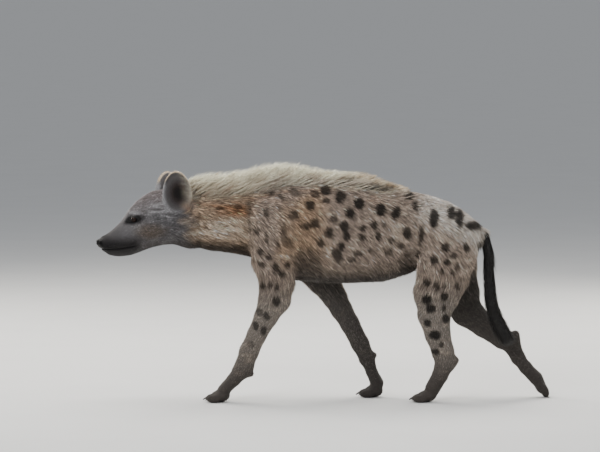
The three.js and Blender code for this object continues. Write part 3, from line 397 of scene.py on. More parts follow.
def eye_opening(a, b, z):
    """The almond between the lids, as a field that is below 0 in the opening."""
    u, v, w = a - EYE_PLACE[0], np.abs(b) - EYE_PLACE[1], z - EYE_PLACE[2]
    along = u * math.cos(LID_TURN) + v * math.sin(LID_TURN)
    out = -u * math.sin(LID_TURN) + v * math.cos(LID_TURN)
    arch = np.sqrt(np.maximum(1 - (along / LID_HALF_LENGTH) ** 2, 0))
    almond = np.abs(w + LID_TILT * along - 0.2) - (LID_HALF_HEIGHT * arch - 0.6)
    return np.maximum(np.maximum(almond, np.abs(along) - 12), -out - 1)


def head_field(x, y, z):
    a, b = to_head(x, y)
    distance = skull(a, b, z)
    for mark in HEAD_MARKS:
        distance = distance + swell(a, np.abs(b), z, mark)
    off = z - mouth_line(a)
    fade = clamp((MOUTH_END - a) / 16, 0, 1)
    groove = MOUTH_DEPTH * np.exp(-((off / 2.0) ** 2))
    lips = LIP_DEPTH * np.exp(-(((np.abs(off) - 7) / 4.5) ** 2))
    distance = distance + fade * (groove - lips)
    eye = from_eye(a, b, z)
    distance = join(distance, eye - EYE_RADIUS - 3.2, 8)
    near = eye < 40
    if near.any():
        opening = eye_opening(a[near], b[near], z[near])
        lid = np.maximum(np.abs(opening - 1.6) - 1.5, eye[near] - EYE_RADIUS - 4.2)
        socket = np.maximum(opening, eye[near] - 40)
        distance[near] = carve(join(distance[near], lid, 2), socket, 1.2)
    u, v, w = ear_frame(a, b, z)
    distance = join(distance, ellipsoid(u, v, w, EAR_OUTER), 9)
    return carve(distance, ellipsoid(u, v, w - EAR_SHIFT, EAR_CAVITY), 3)


def mane_core(x, y, z):
    tall = mane_height(x) * MANE_CORE + 30
    foot = back_line(x) - 30
    inside = (x > MANE[0][0]) & (x < MANE[-1][0]) & (z > foot)
    return np.where(inside, oval(y, z - foot, MANE_CORE_HALF_WIDTH, tall), 1000)


def paw_axes(pitch):
    """A paw's forward and upward directions, in x and z."""
    angle = math.radians(pitch)
    return (-math.cos(angle), -math.sin(angle)), (-math.sin(angle), math.cos(angle))


def toes(wide, long):
    """How far sideways and forward each toe of a paw reaches."""
    for toe in range(TOES):
        side = toe - (TOES - 1) / 2
        yield side * wide * TOE_SPACING, long * (1 if abs(side) < 1 else OUTER_TOE)


def paw_field(paw, x, y, z):
    palm, pitch, wide, tall, long, limb = paw
    ahead, above = paw_axes(pitch)
    dx, dz = x - palm[0], z - palm[2]
    f, u, s = dx * ahead[0] + dz * ahead[1], dx * above[0] + dz * above[1], y - palm[1]
    distance = ellipsoid(f - 2, s, u, (34, wide + 14, tall + 1))
    for side, tip in toes(wide, long):
        toe_field = ellipsoid(f - tip * 0.62, s - side, u + 7, (25, 10.5, 15.5))
        distance = join(distance, toe_field, 4)
    return join(distance, limb_fields[limb](x, y, z)[0], 16)


def coat_depth(x, y, z):
    """How deep the skin lies under the tips of the coat."""
    a, b = to_head(x, y)
    depth = mix(COAT_ON_BODY, COAT_ON_LEG, ramp(z, 470, 330))
    depth = mix(depth, COAT_ON_PAW, ramp(z, 110, 60))
    head = mix(COAT_ON_HEAD, COAT_ON_MUZZLE, ramp(a, 150, 60))
    u, v, w = ear_frame(a, b, z)
    head = mix(head, COAT_ON_EAR, ramp(ellipsoid(u, v, w, EAR_OUTER), 12, 2))
    return mix(depth, head, ramp(x, -430, -500))


def skin_field(points):
    """The skin of the whole animal, the depth of the coat inside the solids."""
    x, y, z = points[:, 0], points[:, 1], points[:, 2]
    distance = trunk(x, y, z)
    for mark in BODY_MARKS:
        distance = distance + swell(x, np.abs(y), z, mark)
    distance = join(distance, mane_core(x, y, z), MANE_SOFTNESS)

    def add(at, shape, softness):
        if at.any():
            place = x[at], y[at], z[at]
            distance[at] = join(distance[at], shape(*place), softness(*place))

    add(x < HEAD_REACH, head_field,
        lambda px, py, pz: NAPE_SOFTNESS * ramp(to_head(px, py)[0], 150, 300) + 1)
    for limb, (left, right, low) in zip(limb_fields, limb_boxes):
        add((x > left) & (x < right) & (z > low) & (z < LIMB_TOP),
            lambda *place: limb(*place)[0], lambda *place: HAUNCH_SOFTNESS)
    for knob in KNOBS:
        add(z < KNOB_TOP,
            lambda px, py, pz: ellipsoid(px - knob[0], py - knob[1], pz - knob[2], knob[3:]),
            lambda *place: KNOB_SOFTNESS)
    add((x > 480) & (z > 500), tail_root, lambda *place: TAIL_SOFTNESS)
    for paw in PAWS:
        palm = paw[0]
        add((z < 130) & (np.abs(x - palm[0]) < 130) & (y * palm[1] > 0),
            lambda *place: paw_field(paw, *place), lambda *place: 6)
    return np.maximum(distance + coat_depth(x, y, z), SOLE - z)


def tail_root(x, y, z):
    """The thick root of the tail, between the trunk and the dock."""
    (start, high, thick), end = TAIL_ROOT, TAIL[0]
    t = clamp((x - start) / (end[0] - start), 0, 1)
    reach = np.sqrt((x - mix(start, end[0], t)) ** 2 + y ** 2 + (z - mix(high, end[2], t)) ** 2)
    return reach - mix(thick, end[3] + 3, t)


def slopes(points):
    """The skin field's value and gradient."""
    gradient = np.empty_like(points)
    for axis in range(3):
        shift = np.zeros(3)
        shift[axis] = 0.6
        gradient[:, axis] = (skin_field(points + shift) - skin_field(points - shift)) / 1.2
    return skin_field(points), gradient


def settle(points, rounds, most):
    """Moves points onto the skin, by at most a distance each round."""
    for _ in range(rounds):
        value, gradient = slopes(points)
        step = gradient * (-value / np.maximum((gradient ** 2).sum(axis=1), 0.05))[:, None]
        size = np.linalg.norm(step, axis=1, keepdims=True)
        points = points + step * np.minimum(1, most / np.maximum(size, 1e-9))
    return points


def window(corner, size):
    """The slices of a block of that size, from a corner on."""
    return tuple(slice(start, start + length) for start, length in zip(corner, size))


def enlarge(grid, times):
    """Each cell of a grid, repeated along all three axes."""
    for axis in range(3):
        grid = np.repeat(grid, times, axis)
    return grid


def surface_net(low, high, cell):
    """Quads on the skin between two corners, one point for each cell that the skin crosses."""
    low = np.array(low, float)
    block = 4
    count = np.ceil((np.array(high, float) - low) / (cell * block)).astype(int) * block + 1
    coarse_axes = [low[i] + cell * block * np.arange((count[i] - 1) // block + 1) for i in range(3)]
    coarse_points = np.stack(np.meshgrid(*coarse_axes, indexing="ij"), axis=-1).reshape(-1, 3)
    coarse_shape = [len(axis) for axis in coarse_axes]
    coarse = skin_field(coarse_points).reshape(coarse_shape)
    near = np.abs(coarse) < cell * block * 1.5
    busy = np.zeros([n - 1 for n in coarse_shape], bool)
    for corner in CORNERS:
        busy |= near[window(corner, busy.shape)]
    wanted = np.zeros(count, bool)
    for corner in CORNERS:
        wanted[window(corner, count - 1)] |= enlarge(busy, block)
    far_value = enlarge(coarse, block)[window((0, 0, 0), count)]
    values = np.where(far_value < 0, -1000.0, 1000.0)
    index = np.argwhere(wanted)
    values[wanted] = skin_field(low + cell * index)
    for axis in (1, 2):
        edge = [slice(None)] * 3
        for end in (0, -1):
            edge[axis] = end
            values[tuple(edge)] = np.maximum(values[tuple(edge)], 0.2 * cell)
    values[values == 0] = 1e-6
    inside = values < 0
    total = sum(inside[window(corner, count - 1)].astype(np.int8) for corner in CORNERS)
    cells = np.argwhere((total > 0) & (total < 8))
    place = np.zeros((len(cells), 3))
    hits = np.zeros(len(cells))
    for axis in range(3):
        for c in CORNERS:
            if c[axis] == 1:
                continue
            other = list(c)
            other[axis] = 1
            p = values[tuple((cells + c).T)]
            q = values[tuple((cells + other).T)]
            cross = (p < 0) != (q < 0)
            t = np.where(cross, p / np.where(cross, p - q, 1), 0)
            at = np.array(c, float)[None, :] + np.eye(3)[axis] * t[:, None]
            place += np.where(cross[:, None], at, 0)
            hits += cross
    points = low + cell * (cells + place / hits[:, None])
    number = np.full(count - 1, -1)
    number[tuple(cells.T)] = np.arange(len(cells))
    quads = []
    for axis in range(3):
        one, two = (axis + 1) % 3, (axis + 2) % 3
        first, second = [slice(None)] * 3, [slice(None)] * 3
        first[axis], second[axis] = slice(0, -1), slice(1, None)
        p, q = inside[tuple(first)], inside[tuple(second)]
        edges = np.argwhere(p != q)
        keep = (edges[:, one] > 0) & (edges[:, one] < count[one] - 1)
        keep &= (edges[:, two] > 0) & (edges[:, two] < count[two] - 1)
        edges = edges[keep]
        outward = p[tuple(edges.T)]
        ring = []
        for shift_one, shift_two in ((-1, -1), (0, -1), (0, 0), (-1, 0)):
            cell_at = edges.copy()
            cell_at[:, one] += shift_one
            cell_at[:, two] += shift_two
            ring.append(number[tuple(cell_at.T)])
        ring = np.stack(ring, axis=1)
        quads.append(np.where(outward[:, None], ring, ring[:, ::-1]))
    return points, np.concatenate(quads)


def mesh_object(name, points, faces):
    """A mesh object at the origin, from points in metres and faces of three or four corners."""
    mesh = bpy.data.meshes.new(name)
    sides = faces.shape[1]
    mesh.vertices.add(len(points))
    mesh.vertices.foreach_set("co", np.ascontiguousarray(points, np.float32).ravel())
    mesh.loops.add(faces.size)
    mesh.loops.foreach_set("vertex_index", np.ascontiguousarray(faces, np.int32).ravel())
    mesh.polygons.add(len(faces))
    mesh.polygons.foreach_set("loop_start", np.arange(0, faces.size, sides, dtype=np.int32))
    mesh.polygons.foreach_set("use_smooth", np.ones(len(faces), bool))
    mesh.update(calc_edges=True)
    obj = bpy.data.objects.new(name, mesh)
    bpy.context.collection.objects.link(obj)
    return obj


def mesh_points(mesh):
    points = np.empty(3 * len(mesh.vertices), np.float32)
    mesh.vertices.foreach_get("co", points)
    return points.reshape(-1, 3).astype(float)


def cut_net(name, net, keep_side):
    """The skin between two corners as a mesh, cut straight across at the neck."""
    points, faces = surface_net(*net)
    obj = mesh_object(name, points, faces)
    bm = bmesh.new()
    bm.from_mesh(obj.data)
    geometry = list(bm.verts) + list(bm.edges) + list(bm.faces)
    place = (NECK_SEAM + keep_side * 1.2, 0, 0)
    bmesh.ops.bisect_plane(bm, geom=geometry, dist=0.001, plane_co=place, plane_no=(1, 0, 0),
                           clear_inner=keep_side > 0, clear_outer=keep_side < 0)
    bm.to_mesh(obj.data)
    bm.free()
    return obj


def refine(bm, wanted):
    """Halves the edges whose two ends are both wanted, and their faces with them."""
    points = np.array([v.co[:] for v in bm.verts])
    a, b = to_head(points[:, 0], points[:, 1])
    chosen = wanted(points[:, 0], a, b, points[:, 2])
    bm.edges.ensure_lookup_table()
    edges = [e for e in bm.edges if chosen[e.verts[0].index] and chosen[e.verts[1].index]]
    bmesh.ops.subdivide_edges(bm, edges=edges, cuts=1, use_grid_fill=True)
    bm.verts.index_update()


# Where the skin's faces are halved: the paws, the mouth, the nose and, twice, around the eyes.
FINE_PLACES = [
    lambda x, a, b, z: z < 92,
    lambda x, a, b, z: (x < -560) & (a < 146) & (np.abs(z - mouth_line(a)) < 10),
    lambda x, a, b, z: (x < -600) & (a < 26) & (z > 530),
    lambda x, a, b, z: (from_eye(a, b, z) < 34) & (x < -480),
    lambda x, a, b, z: (from_eye(a, b, z) < 24) & (x < -480),
]


def skin_mesh():
    """The closed skin in the model's millimetres, and its points."""
    body = cut_net("skin", BODY_NET, 1)
    head = cut_net("skin_head", HEAD_NET, -1)
    bm = bmesh.new()
    bm.from_mesh(body.data)
    bm.from_mesh(head.data)
    bpy.data.objects.remove(head)
    open_edges = [e for e in bm.edges if e.is_boundary
                  and all(abs(v.co.x - NECK_SEAM) < 3 for v in e.verts)]
    bmesh.ops.bridge_loops(bm, edges=open_edges)
    bm.verts.index_update()
    for wanted in FINE_PLACES:
        refine(bm, wanted)
    points = settle(np.array([v.co[:] for v in bm.verts]), 3, 3.0)
    for vertex, place in zip(bm.verts, points):
        vertex.co = place
    holes = sum(e.is_boundary for e in bm.edges)
    crossed = sum(not e.is_manifold for e in bm.edges)
    bmesh.ops.triangulate(bm, faces=[f for f in bm.faces if len(f.verts) > 4])
    bm.to_mesh(body.data)
    bm.free()
    print("skin:", len(body.data.polygons), "faces,", holes, "open edges,", crossed, "not manifold")
    return body, points


# Colours are given as seen in plain daylight and turned to linear light. A picture's soft tone
# curve flattens them, so they are made with more contrast about a middle.
TONE_CONTRAST = 1.35
TONE_MIDDLE = 0.2


def tone(red, green, blue):
    """A colour in linear light, from its values up to 255."""
    values = np.array([red, green, blue], float) / 255
    linear = np.where(values < 0.04045, values / 12.92, ((values + 0.055) / 1.055) ** 2.4)
    return tuple(np.minimum(TONE_MIDDLE * (linear / TONE_MIDDLE) ** TONE_CONTRAST, 0.9))


PALETTE = {
    "ground": ("Body coat", tone(140, 129, 120)),
    "streak": ("Pale streaks of the body coat", tone(186, 174, 161)),
    "shoulder": ("Shoulder coat", tone(146, 127, 108)),
    "neck": ("Neck coat", tone(138, 123, 108)),
    "rust": ("Rusty patches of neck and back", tone(128, 98, 74)),
    # shade: a dark coat colour, also laid as painted shade under the belly, behind the elbow, at the
    # flank fold and in the crease behind the neck
    "shade": ("Dark coat, and painted shade under the belly and in folds", tone(70, 65, 60)),
    "spot": ("Spots", tone(28, 24, 22)),
    # inner: the legs' own grey inner coat, darkened further as painted shade of the far legs'
    # shadowed sides
    "inner": ("Inner sides of the legs", tone(84, 80, 77)),
    "rump": ("Rump coat", tone(182, 175, 167)),
    "leg": ("Leg coat", tone(130, 124, 118)),
    "paw": ("Paw coat", tone(80, 75, 72)),
    "brow": ("Brow and crown", tone(108, 102, 102)),
    "face": ("Face", tone(105, 103, 104)),
    "muzzle": ("Muzzle", tone(43, 40, 41)),
    "ear": ("Ears", tone(58, 50, 48)),
    "rim": ("Pale ear rims", tone(170, 158, 142)),
    "nose": ("Nose", tone(20, 18, 19)),
    "temple": ("Temples", tone(150, 149, 150)),
    "cheek": ("Cheeks behind the mouth", tone(104, 94, 85)),
    "mane": ("Mane", tone(250, 230, 190)),
    "mane_root": ("Roots of the mane", tone(160, 136, 108)),
    "tail": ("Tail hair", tone(24, 22, 22)),
}


# The near side's spots on a side view in squares of 3.5 mm: [forward or back of the middle,
# up from the floor, half width, half height, strength].
CHART_SQUARE = 3.5
VIEW_RISE = math.radians(4)
SPOT_REACH = 16
SPOT_SEED = 20
SPOTS = [
    [-58, 187, 2.5, 4, 0.6], [-68, 170, 3, 3, 0.6], [-58, 163, 2, 5, 0.6], [-64, 148, 3, 3, 0.7],
    [-56, 143, 3, 3, 0.7], [-63, 136, 3, 3, 0.7], [-49, 133, 3, 5, 0.8], [-47, 156, 2, 4, 0.7],
    [-43, 126, 3, 4, 0.8], [-38, 136, 3, 3, 0.7], [-62, 115, 3, 3, 0.8], [-55, 115, 2, 3, 0.7],
    [-48, 113, 3, 3, 0.7], [-32, 184, 5, 4, 0.6], [-15, 194, 4.5, 4.5, 0.9],
    [-11, 205, 4, 3, 0.6], [0, 208, 5, 4, 0.9], [1, 198, 4, 2.5, 0.8], [15, 202, 5, 5, 0.9],
    [17, 219, 6, 3, 0.8], [33, 196, 5, 4.5, 1], [25, 186, 4.5, 4.5, 1], [-11, 177, 5, 4, 0.8],
    [-19, 174, 5, 3, 0.7], [8, 180, 4, 4, 0.45], [18, 173, 4, 5, 0.9], [4, 167, 4, 5, 0.8],
    [20, 164, 3, 4, 0.9], [-5, 158, 4, 4, 0.8], [16, 154, 4, 4, 0.9], [11, 148, 5, 4, 0.8],
    [44, 213, 6, 2.5, 0.9], [60, 212, 8, 3, 0.9], [55, 190, 5, 6, 1], [70, 187, 4.5, 6, 1],
    [48, 175, 3, 4, 0.9], [37, 172, 3, 3, 0.8], [37, 163, 3, 3, 0.8], [52, 164, 3, 4, 0.9],
    [58, 174, 2, 3, 0.45], [81, 167, 4, 5, 0.9], [74, 154, 3, 3, 0.8], [83, 204, 4, 4, 0.9],
    [89, 194, 3, 5, 0.9], [108, 181, 4.5, 9, 1], [125, 186, 3.5, 6, 1], [133, 181, 4, 8, 1],
    [147, 174, 8, 4, 1], [95, 164, 2.5, 9, 0.8], [92, 146, 2.5, 4, 0.8], [119, 153, 4, 4, 0.9],
    [139, 153, 3, 4, 0.9], [152, 154, 2, 4, 0.8], [127, 145, 3, 3, 0.8], [121, 138, 3.5, 3, 0.9],
    [108, 141, 4, 4, 0.9], [131, 133, 3, 3, 0.8], [116, 129, 2, 3, 0.7], [126, 127, 2, 3, 0.7],
    [101, 117, 4, 3.5, 0.9], [111, 114, 3, 4, 0.8], [131, 115, 2.5, 4, 0.7],
    [101, 101, 4.5, 4.5, 1], [118, 104, 3, 4, 0.9], [105, 92, 4.5, 4.5, 1], [118, 92, 2, 3, 0.7],
    [102, 78, 3.5, 3.5, 0.9], [120, 82, 3.5, 4, 0.9], [109, 66, 5, 4.5, 1],
    [115, 56, 2.5, 2.5, 0.8],
    [110, 49, 4, 3, 0.9], [-49, 99, 3.5, 4, 0.8], [-58, 85, 3, 4, 0.7], [-65, 89, 3, 3, 0.4],
    [-69, 75, 2.5, 3.5, 0.7], [-61, 70, 3, 4, 0.7], [-74, 56, 3.5, 3, 0.3],
    [-104, 191, 3, 2, 0.4], [-88, 192, 4, 2.5, 0.4], [-54, 205, 3, 3, 0.5], [-44, 202, 2.5, 3, 0.45],
    [-31, 207, 4, 4, 0.35], [13, 142, 4, 3, 0.7], [26, 141, 3.5, 3, 0.6], [44, 150, 3, 2.5, 0.6],
    [32, 147, 4, 2.5, 0.6], [-42, 169, 3, 7, 0.4], [-38, 158, 4, 4, 0.35], [65, 160, 2.5, 2.5, 0.7],
    [62, 148, 4, 3, 0.5], [118, 114, 2, 3, 0.5],
]


def noise(points, size, seed):
    """Smooth noise between -1 and 1 that changes over `size` millimetres."""
    p = points / size + seed * 17.31
    cell = np.floor(p).astype(np.int64)
    t = p - cell
    t = t * t * (3 - 2 * t)
    total = np.zeros(len(points))
    for i, j, k in CORNERS:
        h = (cell[:, 0] + i) * 73856093 ^ (cell[:, 1] + j) * 19349663
        h = (h ^ (cell[:, 2] + k) * 83492791 ^ seed * 2654435) & 0x7FFFFFFF
        h = (h ^ (h >> 13)) * 1274126177 & 0x7FFFFFFF
        value = ((h ^ (h >> 16)) & 0xFFFF) / 32767.5 - 1
        weight = np.where(i, t[:, 0], 1 - t[:, 0]) * np.where(j, t[:, 1], 1 - t[:, 1])
        total += value * weight * np.where(k, t[:, 2], 1 - t[:, 2])
    return total


def noises(points, size, seed, count=3):
    """Noise of its own in each of the directions."""
    return columns(*(noise(points, size, seed + n) for n in range(count)))


def right_leg_offset(x, z):
    """How far behind its left neighbour the nearest right leg stands at this height."""
    best = np.full(len(x), 150.0)
    offset = np.zeros(len(x))
    for pair in ((FRONT_RIGHT, FRONT_LEFT), (HIND_RIGHT, HIND_LEFT)):
        upwards = [np.array(stations, float)[::-1] for stations in pair]
        there, here = (np.interp(z, table[:, 2], table[:, 0]) for table in upwards)
        nearer = np.abs(x - there) < best
        best = np.where(nearer, np.abs(x - there), best)
        offset = np.where(nearer, there - here, offset)
    return offset * ramp(z, 440, 380)


def spot_share(points):
    """How dark a spot makes the coat at each point, from 0 to 1."""
    x, y, z = points.T
    far = y > 0
    rise = z * math.cos(VIEW_RISE) - np.abs(y) * math.sin(VIEW_RISE)
    warp = noises(points, 26, 3, 2) + 0.5 * noises(points, 11, 5, 2)
    across = (x - right_leg_offset(x, z) * far) / CHART_SQUARE + warp[:, 0] * 1.1
    up = rise / CHART_SQUARE + warp[:, 1] * 1.1
    share = np.zeros(len(points))
    draw = np.random.default_rng(SPOT_SEED)
    for place_x, place_z, half_x, half_z, strength in SPOTS:
        moved = draw.uniform(-4, 4, 2)
        scale = draw.uniform(0.8, 1.25)
        for side, (move_x, move_z), grow in ((False, (0, 0), 1.12), (True, moved, scale)):
            off_x, off_z = across - (place_x + move_x), up - (place_z + move_z)
            at = (far == side) & (np.abs(off_x) < SPOT_REACH) & (np.abs(off_z) < SPOT_REACH)
            off = np.hypot(off_x[at] / (half_x * grow), off_z[at] / (half_z * grow))
            share[at] = np.maximum(share[at], math.sqrt(strength) * ramp(off, 1.25, 0.78))
    return share


def down_limb(points):
    """The direction down the nearest limb at each point."""
    x, y, z = points.T
    best = np.full(len(points), FAR)
    direction = np.tile([0.0, 0.0, -1.0], (len(points), 1))
    for (stations, side), field in zip(LIMBS, limb_fields):
        distance, down = field(x, y, z)
        links = unit(np.diff(np.array(stations, float)[:, :3] * [1, side, 1], axis=0))
        nearer = distance < best
        direction[nearer] = links[clamp(down, 0, len(links) - 1).astype(int)][nearer]
        best = np.minimum(best, distance)
    return direction


def paint(base, other, share):
    return base + (np.array(other) - base) * np.asarray(share)[:, None]


class Layers:
    """Colours laid one over the other, each with its share at every point."""
    def __init__(self, looks, name, count):
        self.looks = looks
        self.colour = np.tile(looks[name], (count, 1))

    def lay(self, name, share, shade=1):
        self.colour = paint(self.colour, self.looks[name] * shade, share)


# Patches of colour in a side view, the ones behind the elbow and at the flank fold being painted
# shadow: [along, up, half length, half height].
PATCHES = {
    "elbow_shadow": [-62, 490, 60, 66], "flank_fold_shadow": [285, 482, 34, 60], "temple": [215, 668, 60, 48],
    "cheek": [178, 598, 62, 34], "brow": [130, 662, 20, 7],
}


def patch(name, along, up):
    """0 in the middle of a patch of colour, 1 on its border."""
    x, z, half_x, half_z = PATCHES[name]
    return np.hypot((along - x) / half_x, (up - z) / half_z)


def coat_colour(points, looks):
    """The coat's colour at points of the skin, in linear light, with painted shade under the belly,
    behind the elbow, at the flank fold and in the crease behind the neck.
    """
    x, y, z = points.T
    wide = noise(points, 90, 11)
    fine = noise(points * [0.35, 1, 1.6], 14, 12) + 0.6 * noise(points * [0.4, 1, 1.6], 6, 13)
    top, belly = back_line(x), trunk_belly(x)
    coat = Layers(looks, "ground", len(points))
    coat.lay("streak", 0.55 * ramp(fine + 0.5 * wide, 0.1, 1.1))
    shoulder = ramp(x, -300, -200) * ramp(x, 60, -60)
    coat.lay("shoulder", 0.8 * shoulder * ramp(z, 420, 560) * ramp(wide, -0.5, 0.4))
    coat.lay("rump", 0.9 * ramp(x, 270, 400) * ramp(z, top - 140, top - 50))
    neck = ramp(x, -225, -285)
    coat.lay("neck", 0.9 * neck)
    flecks = ramp(noise(points * [0.6, 1, 1], 34, 14), -0.25, 0.4)
    coat.lay("rust", 0.85 * neck * ramp(np.abs(z - 668), 26, 8) * flecks)
    band = ramp(z, 560, 592) * ramp(z, 655, 622)
    coat.lay("streak", 0.7 * neck * band * ramp(fine, -0.9, 0.6))
    coat.lay("shade", 0.75 * neck * ramp(z, 575, 545))
    crest = ramp(x, 330, 150) * ramp(z, top - 46, top - 8)
    coat.lay("mane", 0.55 * crest * ramp(fine, -0.8, 0.6))
    back = ramp(z, top - 90, top - 40)
    coat.lay("rust", 0.45 * back * ramp(fine, 0.0, 0.9) * ramp(x, 340, 200))
    # Painted shade under the belly, between the elbow and the flank fold.
    along = ramp(x, -125, -75) * ramp(x, 320, 275)
    coat.lay("shade", 0.8 * ramp(z, belly + 95, belly + 15) * along * ramp(z, 400, 425))
    coat.lay("shade", 0.8 * ramp(np.abs(y), 62, 40) * ramp(z, 620, 540))
    # Painted shadow behind the elbow, on the sides, and in the flank fold.
    coat.lay("shade", 0.75 * ramp(patch("elbow_shadow", x, z), 1.25, 0.5) * (np.abs(y) > 60))
    coat.lay("shade", 0.7 * ramp(patch("flank_fold_shadow", x, z), 1.2, 0.5))
    # Painted shade: a dark line down the crease between the neck and the shoulder.
    crease_shadow = np.exp(-(((x + 262 + 0.08 * (z - 640)) / 9) ** 2))
    crease_shadow = crease_shadow * ramp(z, 560, 610) * ramp(z, 730, 690)
    coat.lay("shade", 0.75 * crease_shadow)
    leg = ramp(z, 440, 330)
    coat.lay("leg", 0.9 * leg)
    coat.lay("streak", 0.3 * leg * ramp(fine, 0.0, 1.0))
    # The inner sides of the legs: their own grey coat, made darker as painted shade for the far
    # legs' shadowed sides.
    inner = ramp(np.abs(y), 86, 68) * ramp(z, 470, 410)
    coat.lay("inner", 0.92 * inner)
    coat.lay("paw", 0.85 * ramp(z, 210, 60))
    coat.lay("spot", 0.93 * (spot_share(points) * ramp(x, -470, -440) * (1 - inner)))
    head = ramp(x + 22 * noise(points, 26, 15), -430, -515)
    return coat.colour + (face_colour(points, looks, fine) - coat.colour) * head[:, None]


def face_colour(points, looks, fine):
    """The colour of head and ears, with painted shadow round the eyes and in the ears' cups. `fine`
    is the noise of the coat's streaks.
    """
    x, y, z = points.T
    a, b = to_head(x, y)
    face = Layers(looks, "face", len(points))
    face.lay("brow", ramp(z, 650, 720))
    face.lay("brow", 0.5 * ramp(fine, 0.1, 0.9))
    small = noise(points * [0.6, 1, 1], 9, 16) + 0.6 * noise(points, 4.5, 17)
    face.lay("temple", 0.45 * ramp(small, 0.35, 1.1) * ramp(a, 60, 130))
    face.lay("shade", 0.5 * ramp(small, -0.3, -1.1) * ramp(a, 60, 130), 0.8)
    face.lay("temple", 0.75 * ramp(patch("temple", a, z), 1.2, 0.2) * ramp(fine, -0.7, 0.4))
    face.lay("cheek", 0.7 * ramp(patch("cheek", a, z), 1.2, 0.3))
    above_mouth = z - mouth_line(a)
    face.lay("muzzle", 0.8 * ramp(a, 170, 115) * ramp(above_mouth, 52, 16))
    face.lay("muzzle", 0.7 * ramp(a, 118, 45))
    face.lay("muzzle", ramp(a, 52, 22))
    face.lay("muzzle", 0.8 * (ramp(np.abs(above_mouth), 24, 8) * ramp(a, 160, 120)), 0.75)
    # A dark almond round each eye: the dark lids, with painted shadow under the brow.
    off, high = a - EYE_PLACE[0] + 6, z - EYE_PLACE[2]
    eye = np.hypot(off / 29, (high - 0.22 * off) / 14)
    outside = ramp(np.abs(b), 14, 30)
    face.lay("muzzle", 0.7 * ramp(eye, 1.6, 1.0) * outside)
    face.lay("nose", 0.95 * ramp(eye, 1.05, 0.8) * outside)
    face.lay("temple", 0.55 * ramp(patch("brow", a, z), 1.3, 0.4))
    face.lay("nose", 0.5 * (np.exp(-((above_mouth / 3) ** 2)) * ramp(a, 148, 135)))
    face.lay("nose", ramp(a, 18, 10) * ramp(z, 538, 546))
    face.lay("shade", 0.5 * ramp(z, 575, 545) * ramp(a, 120, 200))
    u, v, w = ear_frame(a, b, z)
    on_ear = ramp(ellipsoid(u, v, w, EAR_OUTER), 6, 1) * ramp(w, -26, -20) * ramp(z, 655, 672)
    ring = np.hypot(u / EAR_OUTER[0], v / EAR_OUTER[1])
    face.lay("ear", on_ear)
    face.lay("temple", 0.22 * on_ear * ramp(ring, 0.3, 0.85))
    # Near-black deep in the ear's cup: painted shade of its hollow.
    face.lay("nose", 0.8 * on_ear * ramp(ring, 0.42, 0.15) * ramp(w, 6, -2))
    bare_rim = ramp(0.9 * u - 0.4 * v, 30, 12)
    face.lay("rim", 0.95 * on_ear * (bare_rim * ramp(ring, 0.92, 0.97)) * ramp(w, -12, -7))
    face.lay("temple", 0.7 * on_ear * (1 - bare_rim) * ramp(ring, 0.72, 0.9))
    return face.colour


def lie_of_coat(points):
    """The way that the hair points, before it is laid on the skin."""
    x, y, z = points.T
    a, b = to_head(x, y)
    side = ramp(np.abs(y), 20, 90)
    down = mix(0.12 + 0.38 * side, 0.2 + 0.85 * side, ramp(x, -300, -180))
    none = np.zeros(len(x))
    back, left = head_axes()
    u, v, w = ear_frame(a, b, z)
    flip = np.where(b < 0, -1, 1)[:, None]
    up_ear = ear_up[0] * back + ear_up[1] * left * flip + np.array([0, 0, ear_up[2]])
    way = columns(np.ones(len(x)), none, -down)
    for other, share in (
            (np.array([0.4, 0, -1]), ramp(x, 440, 520) * ramp(z, 480, 520)),
            (down_limb(points), ramp(z, 520, 400)),
            (np.array([-0.8, 0, -0.5]), ramp(z, 70, 35)),
            (back + columns(none, none, -0.35 * ramp(z, 620, 560)), ramp(x, -430, -520)),
            (up_ear, ramp(ellipsoid(u, v, w, EAR_OUTER), 8, 2) * ramp(z, 660, 690))):
        way = way * (1 - share[:, None]) + other * share[:, None]
    return way


# The side of a tuft's patch on the chart.
UV_PATCH = 0.003


